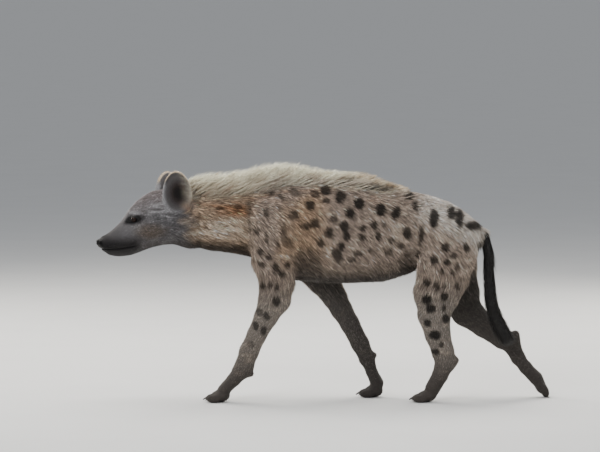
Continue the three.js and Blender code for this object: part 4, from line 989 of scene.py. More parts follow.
def hair_mesh(name, roots, outward, way, looks):
    """Closed tapering tufts: three-sided blades that leave the skin and bend to their tips."""
    length, width, thick = looks["length"][:, None], looks["width"][:, None], looks["thick"]
    start_lift, end_lift = looks["lift"][:, None], looks["settle"][:, None]
    rings = looks["rings"]
    flat = unit(way - outward * (way * outward).sum(axis=1, keepdims=True))
    start = unit(flat * np.cos(start_lift) + outward * np.sin(start_lift))
    end = unit(flat * np.cos(end_lift) + outward * np.sin(end_lift) + looks["stray"])
    root = roots - outward * looks["sink"]
    points, across_at = [], []
    for ring in range(rings + 1):
        t = ring / rings
        centre = root + length * (start * (t - t * t / 2) + end * (t * t / 2))
        along = unit(start * (1 - t) + end * t)
        across = unit(np.cross(along, looks.get("face", outward)))
        above = np.cross(across, along)
        if ring == rings:
            points.append(centre[:, None, :])
            break
        taper = (1 - t ** looks["blunt"]) * (0.75 + 0.25 * min(1, 3 * t))
        half = width * taper / 2
        high = width * thick * taper
        points.append(np.stack([centre + across * half, centre - across * half,
                                centre + above * high], axis=1))
        across_at.append(t)
    count = len(roots)
    points = np.concatenate(points, axis=1)
    each = points.shape[1]
    faces = [(0, 2, 1)]
    for ring in range(rings - 1):
        for n in range(3):
            i, j = 3 * ring + n, 3 * ring + (n + 1) % 3
            faces += [(i, j, i + 3), (j, j + 3, i + 3)]
    for n in range(3):
        faces.append((each - 4 + n, each - 4 + (n + 1) % 3, each - 1))
    faces = np.array(faces)
    whole = (np.arange(count)[:, None, None] * each + faces[None]).reshape(-1, 3)
    obj = mesh_object(name, to_frame(points.reshape(-1, 3)), whole)
    share = np.repeat(np.append(np.repeat(across_at, 3), 1.0)[None, :], count, axis=0)
    root_colour, tip_colour = looks["root_colour"], looks["tip_colour"]
    colour = root_colour[:, None, :] + (tip_colour - root_colour)[:, None, :] * share[:, :, None]
    write_colour(obj.data, colour.reshape(-1, 3))
    side = np.tile([1.0, -1.0, 0.0], rings)
    offsets = columns(np.append(side, 0.0), 2 * share[0] - 1) * UV_PATCH / 2
    place = looks["chart"][:, None, :] + offsets[None]
    layer = obj.data.uv_layers.new(name="OFBake")
    layer.data.foreach_set("uv", place.reshape(-1, 2)[whole.ravel()].astype(np.float32).ravel())
    return obj


def write_colour(mesh, colour):
    """Stores a colour for each point, which the materials read."""
    layer = mesh.color_attributes.new("coat", "FLOAT_COLOR", "POINT")
    values = np.ones((len(colour), 4), np.float32)
    values[:, :3] = clamp(colour, 0, 1)
    layer.data.foreach_set("color", values.ravel())
    mesh.color_attributes.active_color = layer


class Skin:
    """The finished skin, and places spread over it."""
    def __init__(self, obj):
        mesh = obj.data
        mesh.calc_loop_triangles()
        count = len(mesh.loop_triangles)
        corners, loops = np.empty(3 * count, np.int32), np.empty(3 * count, np.int32)
        mesh.loop_triangles.foreach_get("vertices", corners)
        mesh.loop_triangles.foreach_get("loops", loops)
        self.corners, self.loops = corners.reshape(-1, 3), loops.reshape(-1, 3)
        self.points = mesh_points(mesh) / MM - SHIFT
        normals = np.empty(3 * len(mesh.vertices), np.float32)
        mesh.vertices.foreach_get("normal", normals)
        self.normals = normals.reshape(-1, 3).astype(float)
        chart = np.empty(2 * len(mesh.loops), np.float32)
        mesh.uv_layers["OFBake"].data.foreach_get("uv", chart)
        self.chart = chart.reshape(-1, 2).astype(float)
        p, q, r = (self.points[self.corners[:, n]] for n in range(3))
        self.area = np.linalg.norm(np.cross(q - p, r - p), axis=1) / 2
        self.middle = (p + q + r) / 3

    def spread(self, count, weight, seed):
        """Roots, normals and chart places, spread by area times a weight for each triangle."""
        draw = np.random.default_rng(seed)
        share = np.cumsum(self.area * weight)
        steps = (np.arange(count) + draw.uniform(0, 1, count)) / count
        chosen = np.searchsorted(share, steps * share[-1])
        chosen = clamp(chosen, 0, len(self.area) - 1)
        u, v = draw.uniform(0, 1, (2, count))
        fold = u + v > 1
        u[fold], v[fold] = 1 - u[fold], 1 - v[fold]
        weights = columns(1 - u - v, u, v)[:, :, None]
        roots = (self.points[self.corners[chosen]] * weights).sum(axis=1)
        outward = unit((self.normals[self.corners[chosen]] * weights).sum(axis=1))
        chart = (self.chart[self.loops[chosen]] * weights).sum(axis=1)
        return roots, outward, chart


def node_material(name):
    """A new material, its node tree and its shader."""
    material = bpy.data.materials.new(name)
    material.use_nodes = True
    tree = material.node_tree
    return material, tree, tree.nodes["Principled BSDF"]


def wire(tree, node, inputs):
    """Sets inputs of a node to values, or links them to other nodes' outputs."""
    for key, value in inputs.items():
        if isinstance(value, bpy.types.NodeSocket):
            tree.links.new(value, node.inputs[key])
        else:
            node.inputs[key].default_value = value


def add_node(tree, kind, inputs, **settings):
    """Adds a node and gives its outputs."""
    node = tree.nodes.new("ShaderNode" + kind)
    for key, value in settings.items():
        setattr(node, key, value)
    wire(tree, node, inputs)
    return node.outputs


def place_of(tree):
    return add_node(tree, "TexCoord", {})["Object"]


def colour_bands(tree, value, bands):
    """A colour for each value, between the places and colours of the bands."""
    node = tree.nodes.new("ShaderNodeValToRGB")
    elements = node.color_ramp.elements
    for n, (place, colour) in enumerate(bands):
        element = elements[n] if n < 2 else elements.new(place)
        element.position, element.color = place, (*colour, 1)
    tree.links.new(value, node.inputs["Fac"])
    return node.outputs["Color"]


def mottled(tree, scale, one, other):
    """A colour that wanders between two."""
    value = add_node(tree, "TexNoise", {"Vector": place_of(tree), "Scale": scale})["Fac"]
    return colour_bands(tree, value, [(0, one), (1, other)])


def hair_grain_group():
    """A node group of fine streaks: the colour that it takes in, shaded, and a height."""
    tree = bpy.data.node_groups.new("hair grain", "ShaderNodeTree")
    for name, way, kind in (("Colour", "INPUT", "Color"), ("Scale", "INPUT", "Float"),
                            ("Depth", "INPUT", "Float"), ("Colour", "OUTPUT", "Color"),
                            ("Height", "OUTPUT", "Float")):
        tree.interface.new_socket(name, in_out=way, socket_type="NodeSocket" + kind)
    start, end = tree.nodes.new("NodeGroupInput").outputs, tree.nodes.new("NodeGroupOutput")
    stretched = add_node(tree, "Mapping", {"Vector": place_of(tree), "Scale": (0.35, 1, 1)})
    streaks = add_node(tree, "TexNoise", {
        "Vector": stretched["Vector"], "Scale": start["Scale"], "Detail": 3,
        "Distortion": 0.6})["Fac"]
    weakest = add_node(tree, "Math", {0: 1, 1: start["Depth"]}, operation="SUBTRACT")[0]
    span = add_node(tree, "MapRange", {
        "Value": streaks, "From Min": 0.3, "From Max": 0.7, "To Min": weakest, "To Max": 1.12})
    shaded = add_node(tree, "VectorMath", {0: start["Colour"], "Scale": span["Result"]},
                      operation="SCALE")
    wire(tree, end, {"Colour": shaded["Vector"], "Height": streaks})
    return tree


# The coats' materials: roughness, scale and depth of the grain, its height, and sheen.
COAT_MATERIALS = {
    "short coat and skin": [0.78, 420, 0.28, 0.5, 0.02],
    "body coat": [0.7, 300, 0.12, 0.15, 0.02], "head coat": [0.66, 500, 0.1, 0.1, 0.02],
    "ear hair": [0.7, 500, 0.1, 0.1, 0.02], "leg coat": [0.72, 400, 0.12, 0.12, 0.02],
    "mane hair": [0.55, 300, 0.08, 0.1, 0.1], "tail hair": [0.5, 300, 0.1, 0.1, 0.1],
    "whisker": [0.45, 300, 0.05, 0.0, 0.0],
}


def coat_material(name):
    """Hair in the colours stored with its points, under a fine grain."""
    roughness, scale, depth, height, sheen = COAT_MATERIALS[name]
    material, tree, shader = node_material(name)
    colour = add_node(tree, "Attribute", {}, attribute_name="coat")["Color"]
    group = bpy.data.node_groups.get("hair grain") or hair_grain_group()
    grain = add_node(tree, "Group", {"Colour": colour, "Scale": scale, "Depth": depth},
                     node_tree=group)
    raised = add_node(tree, "Bump", {"Height": grain["Height"], "Strength": height,
                                     "Distance": 0.001})
    wire(tree, shader, {
        "Base Color": grain["Colour"], "Normal": raised["Normal"], "Roughness": roughness,
        "Sheen Weight": sheen, "Specular IOR Level": 0.18})
    return material


def dress(obj, material, slot, *nodes):
    """Gives a piece its material and its body, and hides the solids that it replaces. `slot` is not
    used.
    """
    obj.data.materials.append(material)
    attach(obj, "root")
    if nodes:
        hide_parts(*nodes)
    return obj


FLESH_NODES = ["head", "ear_left", "ear_right", "neck", "torso"] + [
    kind + "_" + place for kind in ("leg", "paw")
    for place in ("front_left", "front_right", "hind_left", "hind_right")]

# The lengths of the hair in metres: label, place on the animal, length.
HAIR_LENGTHS = {
    "body_hair": ("Body hair", "on the trunk", 0.028),
    "neck_hair": ("Neck hair", "on the neck", 0.040),
    "leg_hair": ("Leg hair", "on the legs", 0.012),
    "head_hair": ("Head hair", "on the head", 0.010),
    "tail_hair": ("Tail hair", "of the tail", 0.105),
}

# The coats: pieces, tufts in all, seed, lift at the root and at the tip, rings, contrast.
COATS = {
    "coat_body": [4, 73600, 30, 0.42, 0.05, 2, 0.4],
    "coat_head": [2, 56000, 51, 0.42, 0.08, 1, 0.42],
    "ear_hair": [1, 14000, 61, 0.34, 0.05, 1, 0.22],
    "ear_fringe": [1, 3200, 62, 0.6, 0.3, 2, 0.15],
    "coat_legs": [2, 54000, 71, 0.34, 0.05, 1, 0.32],
}
MANE_LOCKS = 7000
MANE_SEED = 81
TAIL_LOCKS = 4200
TAIL_SEED = 91
DOCK_RINGS = 40
DOCK_SIDES = 14
WHISKERS = 46
WHISKER_SEED = 95
WHISKER_SPREAD = 0

# The eye from the pupil out to the white: place and colour.
EYE_BANDS = [(0.33, (0.004, 0.003, 0.003)), (0.40, (0.018, 0.008, 0.004)),
             (0.72, (0.014, 0.007, 0.005)), (0.80, (0.008, 0.006, 0.006))]

# The photo's view: its width, the place on the animal at its middle, and the camera.
VIEW_WIDTH = 2.1
VIEW_CENTRE = (-87.5, 609)
VIEW_DISTANCE = 14.0
SENSOR_WIDTH = 36.0
CLIP_END = 200
FLOOR_SIZE = 400
SKY_COLOUR = (0.80, 0.83, 0.88, 1)
SKY_STRENGTH = 0.6

# Soft lights: name, place, size, power and colour. All are aimed at the middle of the animal.
LIGHTS = [
    ("sky light", (-0.6, 1.2, 4.4), (4.5, 4.0), 430, (1.0, 0.97, 0.92)),
    ("front light", (-2.2, -6.0, 4.2), (3.0, 2.4), 300, (0.98, 0.99, 1.0)),
    ("rim light", (2.8, 3.6, 1.9), (2.0, 2.0), 120, (1.0, 0.95, 0.86)),
    ("far rim light", (-3.4, 3.4, 2.1), (2.0, 2.0), 120, (1.0, 0.95, 0.86)),
]
LIGHT_AIM = (0, 0, 0.55)

# What one operator leaves for the next ones: the finished skin.
BUILT = {}


class HyenaPalette(bpy.types.PropertyGroup):
    """The colours of the coat."""
    __annotations__ = {
        key: bpy.props.FloatVectorProperty(
            name=label, description=label + ", in linear light", default=value, size=3, min=0,
            max=1, subtype="COLOR")
        for key, (label, value) in PALETTE.items()}


class HyenaSizes(bpy.types.PropertyGroup):
    """How long and how dense the hair is."""
    __annotations__ = {
        key: bpy.props.FloatProperty(
            name=label, description="Length of the hair " + place, default=length, unit="LENGTH")
        for key, (label, place, length) in HAIR_LENGTHS.items()}
    __annotations__["density"] = bpy.props.FloatProperty(
        name="Density", description="Share of the full number of tufts", default=1.0, min=0.05,
        max=1.0, subtype="FACTOR")


def palette():
    chosen = bpy.context.scene.hyena_palette
    return {key: np.array(getattr(chosen, key)) for key in PALETTE}


def hair_length(key):
    return getattr(bpy.context.scene.hyena_sizes, key) / MM


def thinned(count):
    return int(count * bpy.context.scene.hyena_sizes.density)


def tell(points):
    """Whether each place on the skin is on the head, on an ear, or on a limb."""
    x, y, z = points.T
    u, v, w = ear_frame(*to_head(x, y), z)
    head = x < NECK_SEAM
    ear = head & (ellipsoid(u, v, w, EAR_OUTER) < 4) & (z > 664) & (w < 22)
    nearest = np.full(len(points), FAR)
    for field in limb_fields:
        nearest = np.minimum(nearest, field(x, y, z)[0])
    ragged = 30 * noise(points, 24, 7)
    limb = (~head) & (z < 470 + ragged) & ((nearest < trunk(x, y, z) - 4) | (z < 395 + ragged))
    return head, ear, limb


def tufts(name, region, count, seed, length, width, lift, settle, rings, contrast):
    """Short hair over a region of the skin, in the colours of the coat."""
    draw = np.random.default_rng(seed)
    count = thinned(count)
    roots, outward, chart = BUILT["skin"].spread(count, region, seed)
    way = lie_of_coat(roots) + draw.normal(0, 0.10, (count, 3))
    way = way + 0.2 * noises(roots, 60, seed) + 0.2 * noises(roots, 15, seed + 5)
    size = length(roots) * draw.uniform(0.72, 1.18, count)
    flat = unit(way - outward * (way * outward).sum(axis=1, keepdims=True))
    colour = coat_colour(roots + flat * size[:, None] * 0.5, palette())
    shade = np.exp(draw.normal(0, contrast, count)) * (1 + 0.25 * noise(roots, 8, seed))
    colour = colour * shade[:, None]
    plain = 1 - 0.9 * spot_share(roots) * (roots[:, 0] > NECK_SEAM)
    pale = (draw.random(count) < 0.3) * contrast * draw.uniform(0.5, 1.8, count) * plain
    colour = clamp(colour * (1 + 1.7 * pale[:, None]), 0, 0.9)
    return hair_mesh(name, roots, outward, way, {
        "length": size,
        "width": width(roots) * draw.uniform(0.75, 1.2, count),
        "thick": 0.32,
        "lift": lift * draw.uniform(0.7, 1.35, count),
        "settle": settle * draw.uniform(-0.4, 1.6, count),
        "stray": draw.normal(0, 0.06, (count, 3)),
        "rings": rings,
        "blunt": 1.6,
        "sink": 0.8,
        "root_colour": colour * 0.66,
        "tip_colour": colour * 1.16,
        "chart": chart,
    })


def coat(name, weight, slot, material, length, width):
    """A coat in several pieces from front to back, with ragged borders between them."""
    pieces, count, seed, *looks = COATS[name]
    skin = BUILT["skin"]
    rank = np.argsort(skin.middle[:, 0] + 9 * noise(skin.middle, 14, seed))
    sofar = np.cumsum((skin.area * weight)[rank])
    piece = np.empty(len(rank), int)
    piece[rank] = clamp(sofar / sofar[-1] * pieces, 0, pieces - 1).astype(int)
    for n in range(pieces):
        obj = tufts(f"{name}_{n + 1}", weight * (piece == n), count // pieces, seed + n, length,
                    width, *looks)
        dress(obj, material, slot)


def nose_material():
    """Damp black leather with a fine pebbled grain."""
    material, tree, shader = node_material("nose leather")
    pebbles = add_node(tree, "TexVoronoi", {"Vector": place_of(tree), "Scale": 620})
    raised = add_node(tree, "Bump", {"Height": pebbles["Distance"], "Strength": 0.35,
                                     "Distance": 0.0006})
    wire(tree, shader, {"Base Color": (*palette()["nose"], 1), "Normal": raised["Normal"],
                        "Roughness": 0.42, "Specular IOR Level": 0.1})
    return material


class HyenaSkin(bpy.types.Operator):
    """One skin over head, ears, trunk, legs and paws, with its folds, lids, lips and nostrils"""
    bl_idname = "hyena.skin"
    bl_label = "Skin"

    def execute(self, context):
        obj, points = skin_mesh()
        mesh = obj.data
        mesh.polygons.foreach_set("use_smooth", np.ones(len(mesh.polygons), bool))
        colour = coat_colour(points, palette())
        # The skin under the tufts is painted darker, by 0.8 on the head and 0.55 elsewhere: painted
        # shade in the gaps between the hairs.
        write_colour(mesh, colour * np.where(points[:, :1] < NECK_SEAM, 0.8, 0.55))
        mesh.vertices.foreach_set("co", to_frame(points).astype(np.float32).ravel())
        mesh.update()
        mesh.uv_layers.active = mesh.uv_layers.new(name="OFBake")
        bpy.ops.object.select_all(action="DESELECT")
        obj.select_set(True)
        context.view_layer.objects.active = obj
        bpy.ops.object.mode_set(mode="EDIT")
        bpy.ops.mesh.select_all(action="SELECT")
        bpy.ops.uv.smart_project(angle_limit=math.radians(72), island_margin=0.002)
        bpy.ops.object.mode_set(mode="OBJECT")
        dress(obj, coat_material("short coat and skin"), "body_coat", *FLESH_NODES)
        mesh.materials.append(nose_material())
        a, _ = to_head(points[:, 0], points[:, 1])
        leather = (a < NOSE_DEPTH) & (points[:, 2] > NOSE_LOW) & (points[:, 0] < -600)
        corners = np.array([polygon.vertices[0] for polygon in mesh.polygons])
        mesh.polygons.foreach_set("material_index", leather[corners].astype(np.int32))
        BUILT["skin"] = Skin(obj)
        return {"FINISHED"}


class HyenaBodyCoat(bpy.types.Operator):
    """The coat of neck and trunk, in tufts that lie back and down"""
    bl_idname = "hyena.body_coat"
    bl_label = "Body coat"

    def execute(self, context):
        head, _, limb = tell(BUILT["skin"].middle)
        neck_hair, body_hair = hair_length("neck_hair"), hair_length("body_hair")
        coat("coat_body", (~head & ~limb).astype(float), "body_coat", coat_material("body coat"),
             lambda p: mix(body_hair, neck_hair, ramp(p[:, 0], -200, -330)), lambda p: 2.7)
        return {"FINISHED"}


class HyenaHeadCoat(bpy.types.Operator):
    """The short hair of the head, smallest on the muzzle"""
    bl_idname = "hyena.head_coat"
    bl_label = "Head coat"

    def execute(self, context):
        head, ear, _ = tell(BUILT["skin"].middle)
        x, y, z = BUILT["skin"].middle.T
        a, b = to_head(x, y)
        bare = (a < 12) & (z > 540)
        weight = (head & ~ear & (from_eye(a, b, z) > 17) & ~bare) * mix(1.0, 1.5, ramp(a, 160, 60))
        full, neck_hair = hair_length("head_hair"), hair_length("neck_hair")

        def length(points):
            at = to_head(points[:, 0], points[:, 1])[0]
            return mix(mix(3.2, full, ramp(at, 50, 170)), 0.8 * neck_hair, ramp(at, 225, 345))

        def width(points):
            at = to_head(points[:, 0], points[:, 1])[0]
            return mix(mix(0.8, 1.5, ramp(at, 50, 170)), 2.6, ramp(at, 230, 340))

        coat("coat_head", weight, "head_coat", coat_material("head coat"), length, width)
        return {"FINISHED"}


class HyenaEarHair(bpy.types.Operator):
    """The thin hair of the ears, and the fringe inside their rims"""
    bl_idname = "hyena.ear_hair"
    bl_label = "Ear hair"

    def execute(self, context):
        _, ear, _ = tell(BUILT["skin"].middle)
        x, y, z = BUILT["skin"].middle.T
        u, v, w = ear_frame(*to_head(x, y), z)
        rim = ear & (np.hypot(u / EAR_OUTER[0], v / EAR_OUTER[1]) > 0.84) & (w > 0)
        material = coat_material("ear hair")
        for name, region, width in (("ear_hair", ear, 1.0), ("ear_fringe", rim, 0.9)):
            coat(name, region.astype(float), "ear_coat", material, lambda p: 6, lambda p: width)
        return {"FINISHED"}


class HyenaLegCoat(bpy.types.Operator):
    """The short hair of legs and paws, lying downwards"""
    bl_idname = "hyena.leg_coat"
    bl_label = "Leg coat"

    def execute(self, context):
        _, _, limb = tell(BUILT["skin"].middle)
        z = BUILT["skin"].middle[:, 2]
        full, body_hair = hair_length("leg_hair"), hair_length("body_hair")

        def length(points):
            high = points[:, 2]
            return mix(mix(5, full, ramp(high, 40, 160)), body_hair, ramp(high, 290, 450))

        def width(points):
            high = points[:, 2]
            return mix(mix(1.1, 2.0, ramp(high, 40, 160)), 2.7, ramp(high, 290, 440))

        weight = limb * (z > 5) * mix(1.0, 2.0, ramp(z, 140, 60))
        coat("coat_legs", weight, "leg_coat", coat_material("leg coat"), length, width)
        return {"FINISHED"}


class HyenaMane(bpy.types.Operator):
    """The mane of long pale hair from the nape to the back"""
    bl_idname = "hyena.mane"
    bl_label = "Mane"

    def execute(self, context):
        colours = palette()
        x, y, z = BUILT["skin"].middle.T
        on_top = (z > back_line(x) - 34) * (x > -500) * (x < 275)
        weight = on_top * np.exp(-(y / 27) ** 2) * (0.25 + mane_height(x) / 60)
        count = thinned(MANE_LOCKS)
        draw = np.random.default_rng(MANE_SEED)
        roots, _, chart = BUILT["skin"].spread(count, weight, MANE_SEED)
        x, y, z = roots.T
        share = np.exp(-(y / 34) ** 2)
        rise = mix(0.6, 1.3, share) * mix(0.62, 1.0, ramp(x, 60, -100))
        rise = rise * draw.uniform(0.8, 1.12, count)
        rest = rise * draw.uniform(0.25, 0.6, count)
        tall = mane_height(x + 18) * mix(0.3, 1.0, share) * draw.uniform(0.45, 1.14, count) + 6
        tall = tall + np.maximum(back_line(x) - z, 0) * 0.4
        clump = noises(roots, 22, 90)
        way = columns(np.cos(rise), 0.010 * y + draw.normal(0, 0.08, count), np.zeros(count))
        face = columns(draw.normal(0, 0.5, count), np.where(draw.random(count) < 0.5, 1, -1),
                       draw.normal(0, 0.2, count))
        high = ramp(z - back_line(x), -24, 0)
        pale = mix(0.0, 0.95, high * share) + 0.3 * clump[:, 0] + draw.normal(0, 0.15, count)
        pale = clamp(pale, 0, 1) * mix(0.35, 1.0, ramp(x, 150, 0))
        around = coat_colour(roots + [14, 0, 4], colours)
        under = mix(around, colours["mane_root"], (0.7 * high * share)[:, None])
        obj = hair_mesh("mane", roots, np.tile([0.0, 0.0, 1.0], (count, 1)), way, {
            "length": clamp(tall / np.sin((rise + rest) / 2), 16, 105),
            "width": draw.uniform(2.0, 3.6, count),
            "thick": 0.4,
            "lift": rise,
            "settle": rest,
            "stray": 0.16 * clump + draw.normal(0, 0.05, (count, 3)),
            "rings": 4,
            "blunt": 1.8,
            "sink": 3,
            "root_colour": under * 0.75,
            "tip_colour": paint(under, colours["mane"], pale),
            "chart": chart,
            "face": unit(face),
        })
        dress(obj, coat_material("mane hair"), "neck_coat")
        return {"FINISHED"}


def tail_path(share):
    """Points down the dock, with the radius of the dock and the reach of the hair."""
    knots = np.array(TAIL, float)
    at = np.linspace(0, 1, len(knots))
    return columns(*(np.interp(share, at, knots[:, n]) for n in range(5)))


def dock_mesh():
    """The thin dock of the tail, a closed tube."""
    rings, sides = DOCK_RINGS, DOCK_SIDES
    line = tail_path(np.linspace(0, 1, rings))
    line[0, :3] += [-16, 0, 2]
    angle = np.arange(sides) * 2 * math.pi / sides
    circle = columns(np.cos(angle), np.sin(angle), 0 * angle)
    tube = line[:, None, :3] + line[:, None, 3:4] * circle[None]
    points = np.concatenate([tube.reshape(-1, 3), line[:1, :3], line[-1:, :3]])
    faces = []
    for ring in range(rings - 1):
        for n in range(sides):
            i, j = ring * sides + n, ring * sides + (n + 1) % sides
            faces += [(i, i + sides, j), (j, i + sides, j + sides)]
    top, end, last = rings * sides, rings * sides + 1, (rings - 1) * sides
    for n in range(sides):
        m = (n + 1) % sides
        faces += [(top, n, m), (end, last + m, last + n)]
    return mesh_object("tail_dock", to_frame(points), np.array(faces))


class HyenaTail(bpy.types.Operator):
    """The thin dock of the tail and its long black hair"""
    bl_idname = "hyena.tail"
    bl_label = "Tail"

    def execute(self, context):
        colours = palette()
        dock = dock_mesh()
        write_colour(dock.data, np.tile(colours["tail"], (len(dock.data.vertices), 1)))
        material = coat_material("tail hair")
        dress(dock, material, "tail_hair", "tail")
        count = thinned(TAIL_LOCKS)
        draw = np.random.default_rng(TAIL_SEED)
        share = draw.uniform(0, 0.99, count) ** 0.9
        at = tail_path(share)
        way = unit(tail_path(share + 0.06)[:, :3] - tail_path(share - 0.06)[:, :3])
        turn = draw.uniform(0, 2 * math.pi, count)
        out = columns(np.cos(turn), np.sin(turn), 0 * turn)
        out = unit(out - way * (out * way).sum(axis=1, keepdims=True))
        roots = at[:, :3] + out * (at[:, 3:4] - 1)
        left = np.linalg.norm(np.array(TAIL_TIP) - roots, axis=1)
        length = np.minimum(hair_length("tail_hair") * draw.uniform(0.6, 1.1, count),
                            left * draw.uniform(0.8, 1.04, count))
        flare = clamp((at[:, 4] - at[:, 3]) * 2.4 / length, 0.03, 0.7)
        dark = np.tile(colours["tail"], (count, 1))
        locks = hair_mesh("tail_locks", roots, out, way, {
            "length": length,
            "width": draw.uniform(1.6, 2.8, count),
            "thick": 0.4,
            "lift": flare * draw.uniform(0.5, 1.1, count),
            "settle": -flare * draw.uniform(0.0, 0.4, count),
            "stray": draw.normal(0, 0.09, (count, 3)),
            "rings": 4,
            "blunt": 1.6,
            "sink": 1.5,
            "root_colour": dark * 0.8,
            "tip_colour": paint(dark, colours["shade"], 0.9 * draw.random(count) ** 2),
            "chart": columns(0.02 + 0.96 * share, 0.02 + 0.96 * turn / (2 * math.pi)),
        })
        dress(locks, material, "tail_hair")
        return {"FINISHED"}


def eye_material(name, centre, gaze):
    """Dark brown iris with a round pupil, set out by the distance from where the eye looks."""
    material, tree, shader = node_material(name)
    place = place_of(tree)
    apart = add_node(tree, "VectorMath", {0: place, 1: centre + gaze * EYE_RADIUS * MM},
                     operation="DISTANCE")
    ring = add_node(tree, "MapRange", {"Value": apart["Value"], "From Max": 0.012})
    fibres = add_node(tree, "TexNoise", {"Vector": place, "Scale": 700})
    blur = add_node(tree, "Math", {0: fibres["Fac"], 1: 0.10, 2: ring["Result"]},
                    operation="MULTIPLY_ADD")
    wire(tree, shader, {
        "Base Color": colour_bands(tree, blur[0], EYE_BANDS), "Roughness": 0.2,
        "Specular IOR Level": 0.08, "Coat Weight": 0.14, "Coat Roughness": 0.03})
    return material


class HyenaEyes(bpy.types.Operator):
    """Two eyeballs with a raised cornea, deep between their lids"""
    bl_idname = "hyena.eyes"
    bl_label = "Eyes"

    def execute(self, context):
        back, left = head_axes()
        for name, side in (("eye_left", 1), ("eye_right", -1)):
            centre = to_frame(from_head(EYE_PLACE[0], side * EYE_PLACE[1], EYE_PLACE[2]))
            gaze = unit(-back * 0.5 + left * side * 0.87)
            bpy.ops.object.select_all(action="DESELECT")
            bpy.ops.mesh.primitive_uv_sphere_add(segments=48, ring_count=32,
                                                 radius=EYE_RADIUS * MM, location=centre)
            obj = context.active_object
            obj.name = name + "_ball"
            obj.rotation_mode = "QUATERNION"
            obj.rotation_quaternion = Vector(gaze).to_track_quat("Z", "Y")
            bpy.ops.object.transform_apply(location=True, rotation=True, scale=True)
            points = mesh_points(obj.data)
            facing = (unit(points - centre) * gaze).sum(axis=1)
            points += gaze * (0.9 * MM * ramp(facing, 0.78, 0.97))[:, None]
            obj.data.vertices.foreach_set("co", points.astype(np.float32).ravel())
            obj.data.update()
            bpy.ops.object.shade_smooth()
            dress(obj, eye_material(name + " looks", centre, gaze), "eye", name)
        return {"FINISHED"}


def claw_form():
    """One straight claw around the Z axis: its points in millimetres, and its faces."""
    bpy.ops.object.select_all(action="DESELECT")
    bpy.ops.mesh.primitive_cone_add(vertices=14, radius1=CLAW_RADIUS * MM,
                                    radius2=CLAW_TIP_RADIUS * MM,
                                    depth=(CLAW_LENGTH + CLAW_ROOT) * MM)
    claw = bpy.context.active_object
    bpy.ops.object.mode_set(mode="EDIT")
    bpy.ops.mesh.select_all(action="SELECT")
    bpy.ops.mesh.subdivide(number_cuts=3)
    bpy.ops.object.mode_set(mode="OBJECT")
    form = mesh_points(claw.data) / MM
    faces = [p.vertices[:] for p in claw.data.polygons]
    faces.sort(key=lambda face: len(face) != 4)
    bpy.data.objects.remove(claw)
    return form, faces


class HyenaClaws(bpy.types.Operator):
    """Blunt dark claws, four on each paw, bent down to their tips"""
    bl_idname = "hyena.claws"
    bl_label = "Claws"

    def execute(self, context):
        form, faces = claw_form()
        bend = 3.5 * (form[:, 2] / (CLAW_LENGTH + CLAW_ROOT) + 0.5) ** 2
        whole = bmesh.new()
        for palm, pitch, wide, _, long, _ in PAWS:
            ahead, above = paw_axes(pitch)
            for side, tip in toes(wide, long):
                reach = tip + 4 + form[:, 2]
                drop = -4 - 0.35 * form[:, 2] - bend + form[:, 1] * 1.15
                points = columns(palm[0] + reach * ahead[0] + drop * above[0],
                                 palm[1] + side + form[:, 0],
                                 palm[2] + reach * ahead[1] + drop * above[1])
                points[:, 2] = np.maximum(points[:, 2], SOLE)
                verts = [whole.verts.new(p) for p in to_frame(points)]
                for face in faces:
                    whole.faces.new([verts[n] for n in face])
        bmesh.ops.recalc_face_normals(whole, faces=whole.faces)
        mesh = bpy.data.meshes.new("claws")
        whole.to_mesh(mesh)
        whole.free()
        obj = bpy.data.objects.new("claws", mesh)
        context.collection.objects.link(obj)
        mesh.polygons.foreach_set("use_smooth", np.ones(len(mesh.polygons), bool))
        material, tree, shader = node_material("horn")
        wire(tree, shader, {"Base Color": mottled(tree, 260, tone(30, 26, 24), tone(62, 54, 47)),
                            "Roughness": 0.4})
        dress(obj, material, "paw_coat")
        return {"FINISHED"}


class HyenaWhiskers(bpy.types.Operator):
    """Stiff whiskers on the lips"""
    bl_idname = "hyena.whiskers"
    bl_label = "Whiskers"

    def execute(self, context):
        x, y, z = BUILT["skin"].middle.T
        a, b = to_head(x, y)
        lip = (x < -600) & (a > 14) & (a < 62) & (z > 538) & (z < 566) & (np.abs(b) > 12)
        count = WHISKERS
        roots, outward, chart = BUILT["skin"].spread(count, lip.astype(float), WHISKER_SEED)
        draw = np.random.default_rng(WHISKER_SEED)
        aside = WHISKER_SPREAD * draw.random((2, count))
        way = head_axes()[0] + columns(*aside, draw.uniform(-0.5, 0.1, count))
        dark = np.tile(tone(20, 18, 18), (count, 1))
        obj = hair_mesh("whiskers", roots, outward, way, {
            "length": draw.uniform(26, 52, count), "width": np.full(count, 0.7), "thick": 0.6,
            "lift": draw.uniform(0.5, 0.9, count), "settle": draw.uniform(0.2, 0.5, count),
            "stray": draw.normal(0, 0.05, (count, 3)), "rings": 5, "blunt": 1.2, "sink": 0.6,
            "root_colour": dark, "tip_colour": dark * 2, "chart": chart,
        })
        dress(obj, coat_material("whisker"), "head_coat")
        return {"FINISHED"}


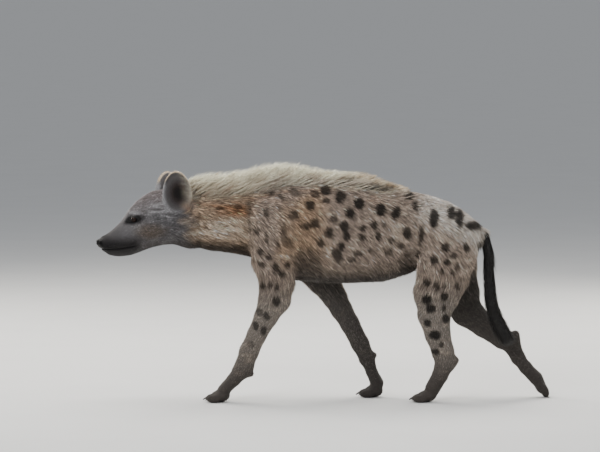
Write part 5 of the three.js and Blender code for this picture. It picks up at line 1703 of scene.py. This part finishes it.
class HyenaStage(bpy.types.Operator):
    """The pale floor, the soft light and the camera at the photo's angle"""
    bl_idname = "hyena.stage"
    bl_label = "Stage"

    def execute(self, context):
        bpy.ops.object.select_all(action="DESELECT")
        bpy.ops.mesh.primitive_plane_add(size=FLOOR_SIZE)
        floor = context.active_object
        floor.name = "floor"
        material, tree, shader = node_material("pale floor")
        wire(tree, shader, {"Base Color": mottled(tree, 3, (0.56, 0.56, 0.55), (0.60, 0.60, 0.59)),
                            "Roughness": 0.9})
        floor.data.materials.append(material)
        world = bpy.data.worlds.new("studio")
        world.use_nodes = True
        sky = world.node_tree.nodes["Background"]
        wire(world.node_tree, sky, {"Color": SKY_COLOUR, "Strength": SKY_STRENGTH})
        context.scene.world = world
        for name, place, size, power, colour in LIGHTS:
            lamp = bpy.data.lights.new(name, "AREA")
            lamp.shape = "RECTANGLE"
            lamp.size, lamp.size_y = size
            lamp.energy = power
            lamp.color = colour
            obj = bpy.data.objects.new(name, lamp)
            obj.location = place
            aim = Vector(LIGHT_AIM) - Vector(place)
            obj.rotation_euler = aim.to_track_quat("-Z", "Y").to_euler()
            context.collection.objects.link(obj)
        rise = VIEW_RISE
        across, up = VIEW_CENTRE
        target = Vector(to_frame(np.array([across, 0, up / math.cos(rise)])))
        camera = bpy.data.cameras.new("camera")
        camera.sensor_width = SENSOR_WIDTH
        camera.lens = SENSOR_WIDTH * VIEW_DISTANCE / VIEW_WIDTH
        camera.clip_end = CLIP_END
        eye = bpy.data.objects.new("camera", camera)
        away = Vector((0, -math.cos(rise), math.sin(rise)))
        eye.location = target + away * VIEW_DISTANCE
        eye.rotation_euler = (-away).to_track_quat("-Z", "Y").to_euler()
        context.collection.objects.link(eye)
        context.scene.camera = eye
        return {"FINISHED"}


OPERATORS = [HyenaSkin, HyenaBodyCoat, HyenaHeadCoat, HyenaEarHair, HyenaLegCoat, HyenaMane,
             HyenaTail, HyenaEyes, HyenaClaws, HyenaWhiskers, HyenaStage]


class HyenaPanel(bpy.types.Panel):
    """Lists the pieces of the hyena"""
    bl_idname = "VIEW3D_PT_hyena"
    bl_label = "Spotted hyena"
    bl_space_type = "VIEW_3D"
    bl_region_type = "UI"
    bl_category = "Hyena"

    def draw(self, context):
        for name in HyenaSizes.__annotations__:
            self.layout.prop(context.scene.hyena_sizes, name)
        for name in PALETTE:
            self.layout.prop(context.scene.hyena_palette, name)
        for operator in OPERATORS:
            self.layout.operator(operator.bl_idname)


CLASSES = [HyenaPalette, HyenaSizes] + OPERATORS + [HyenaPanel]


def register():
    for kind in CLASSES:
        bpy.utils.register_class(kind)
    bpy.types.Scene.hyena_palette = bpy.props.PointerProperty(type=HyenaPalette)
    bpy.types.Scene.hyena_sizes = bpy.props.PointerProperty(type=HyenaSizes)


def unregister():
    del bpy.types.Scene.hyena_sizes
    del bpy.types.Scene.hyena_palette
    for kind in reversed(CLASSES):
        bpy.utils.unregister_class(kind)


def main():
    register()
    for operator in OPERATORS:
        group, name = operator.bl_idname.split(".")
        getattr(getattr(bpy.ops, group), name)()
    bpy.context.view_layer.update()


if __name__ == "__main__":
    main()
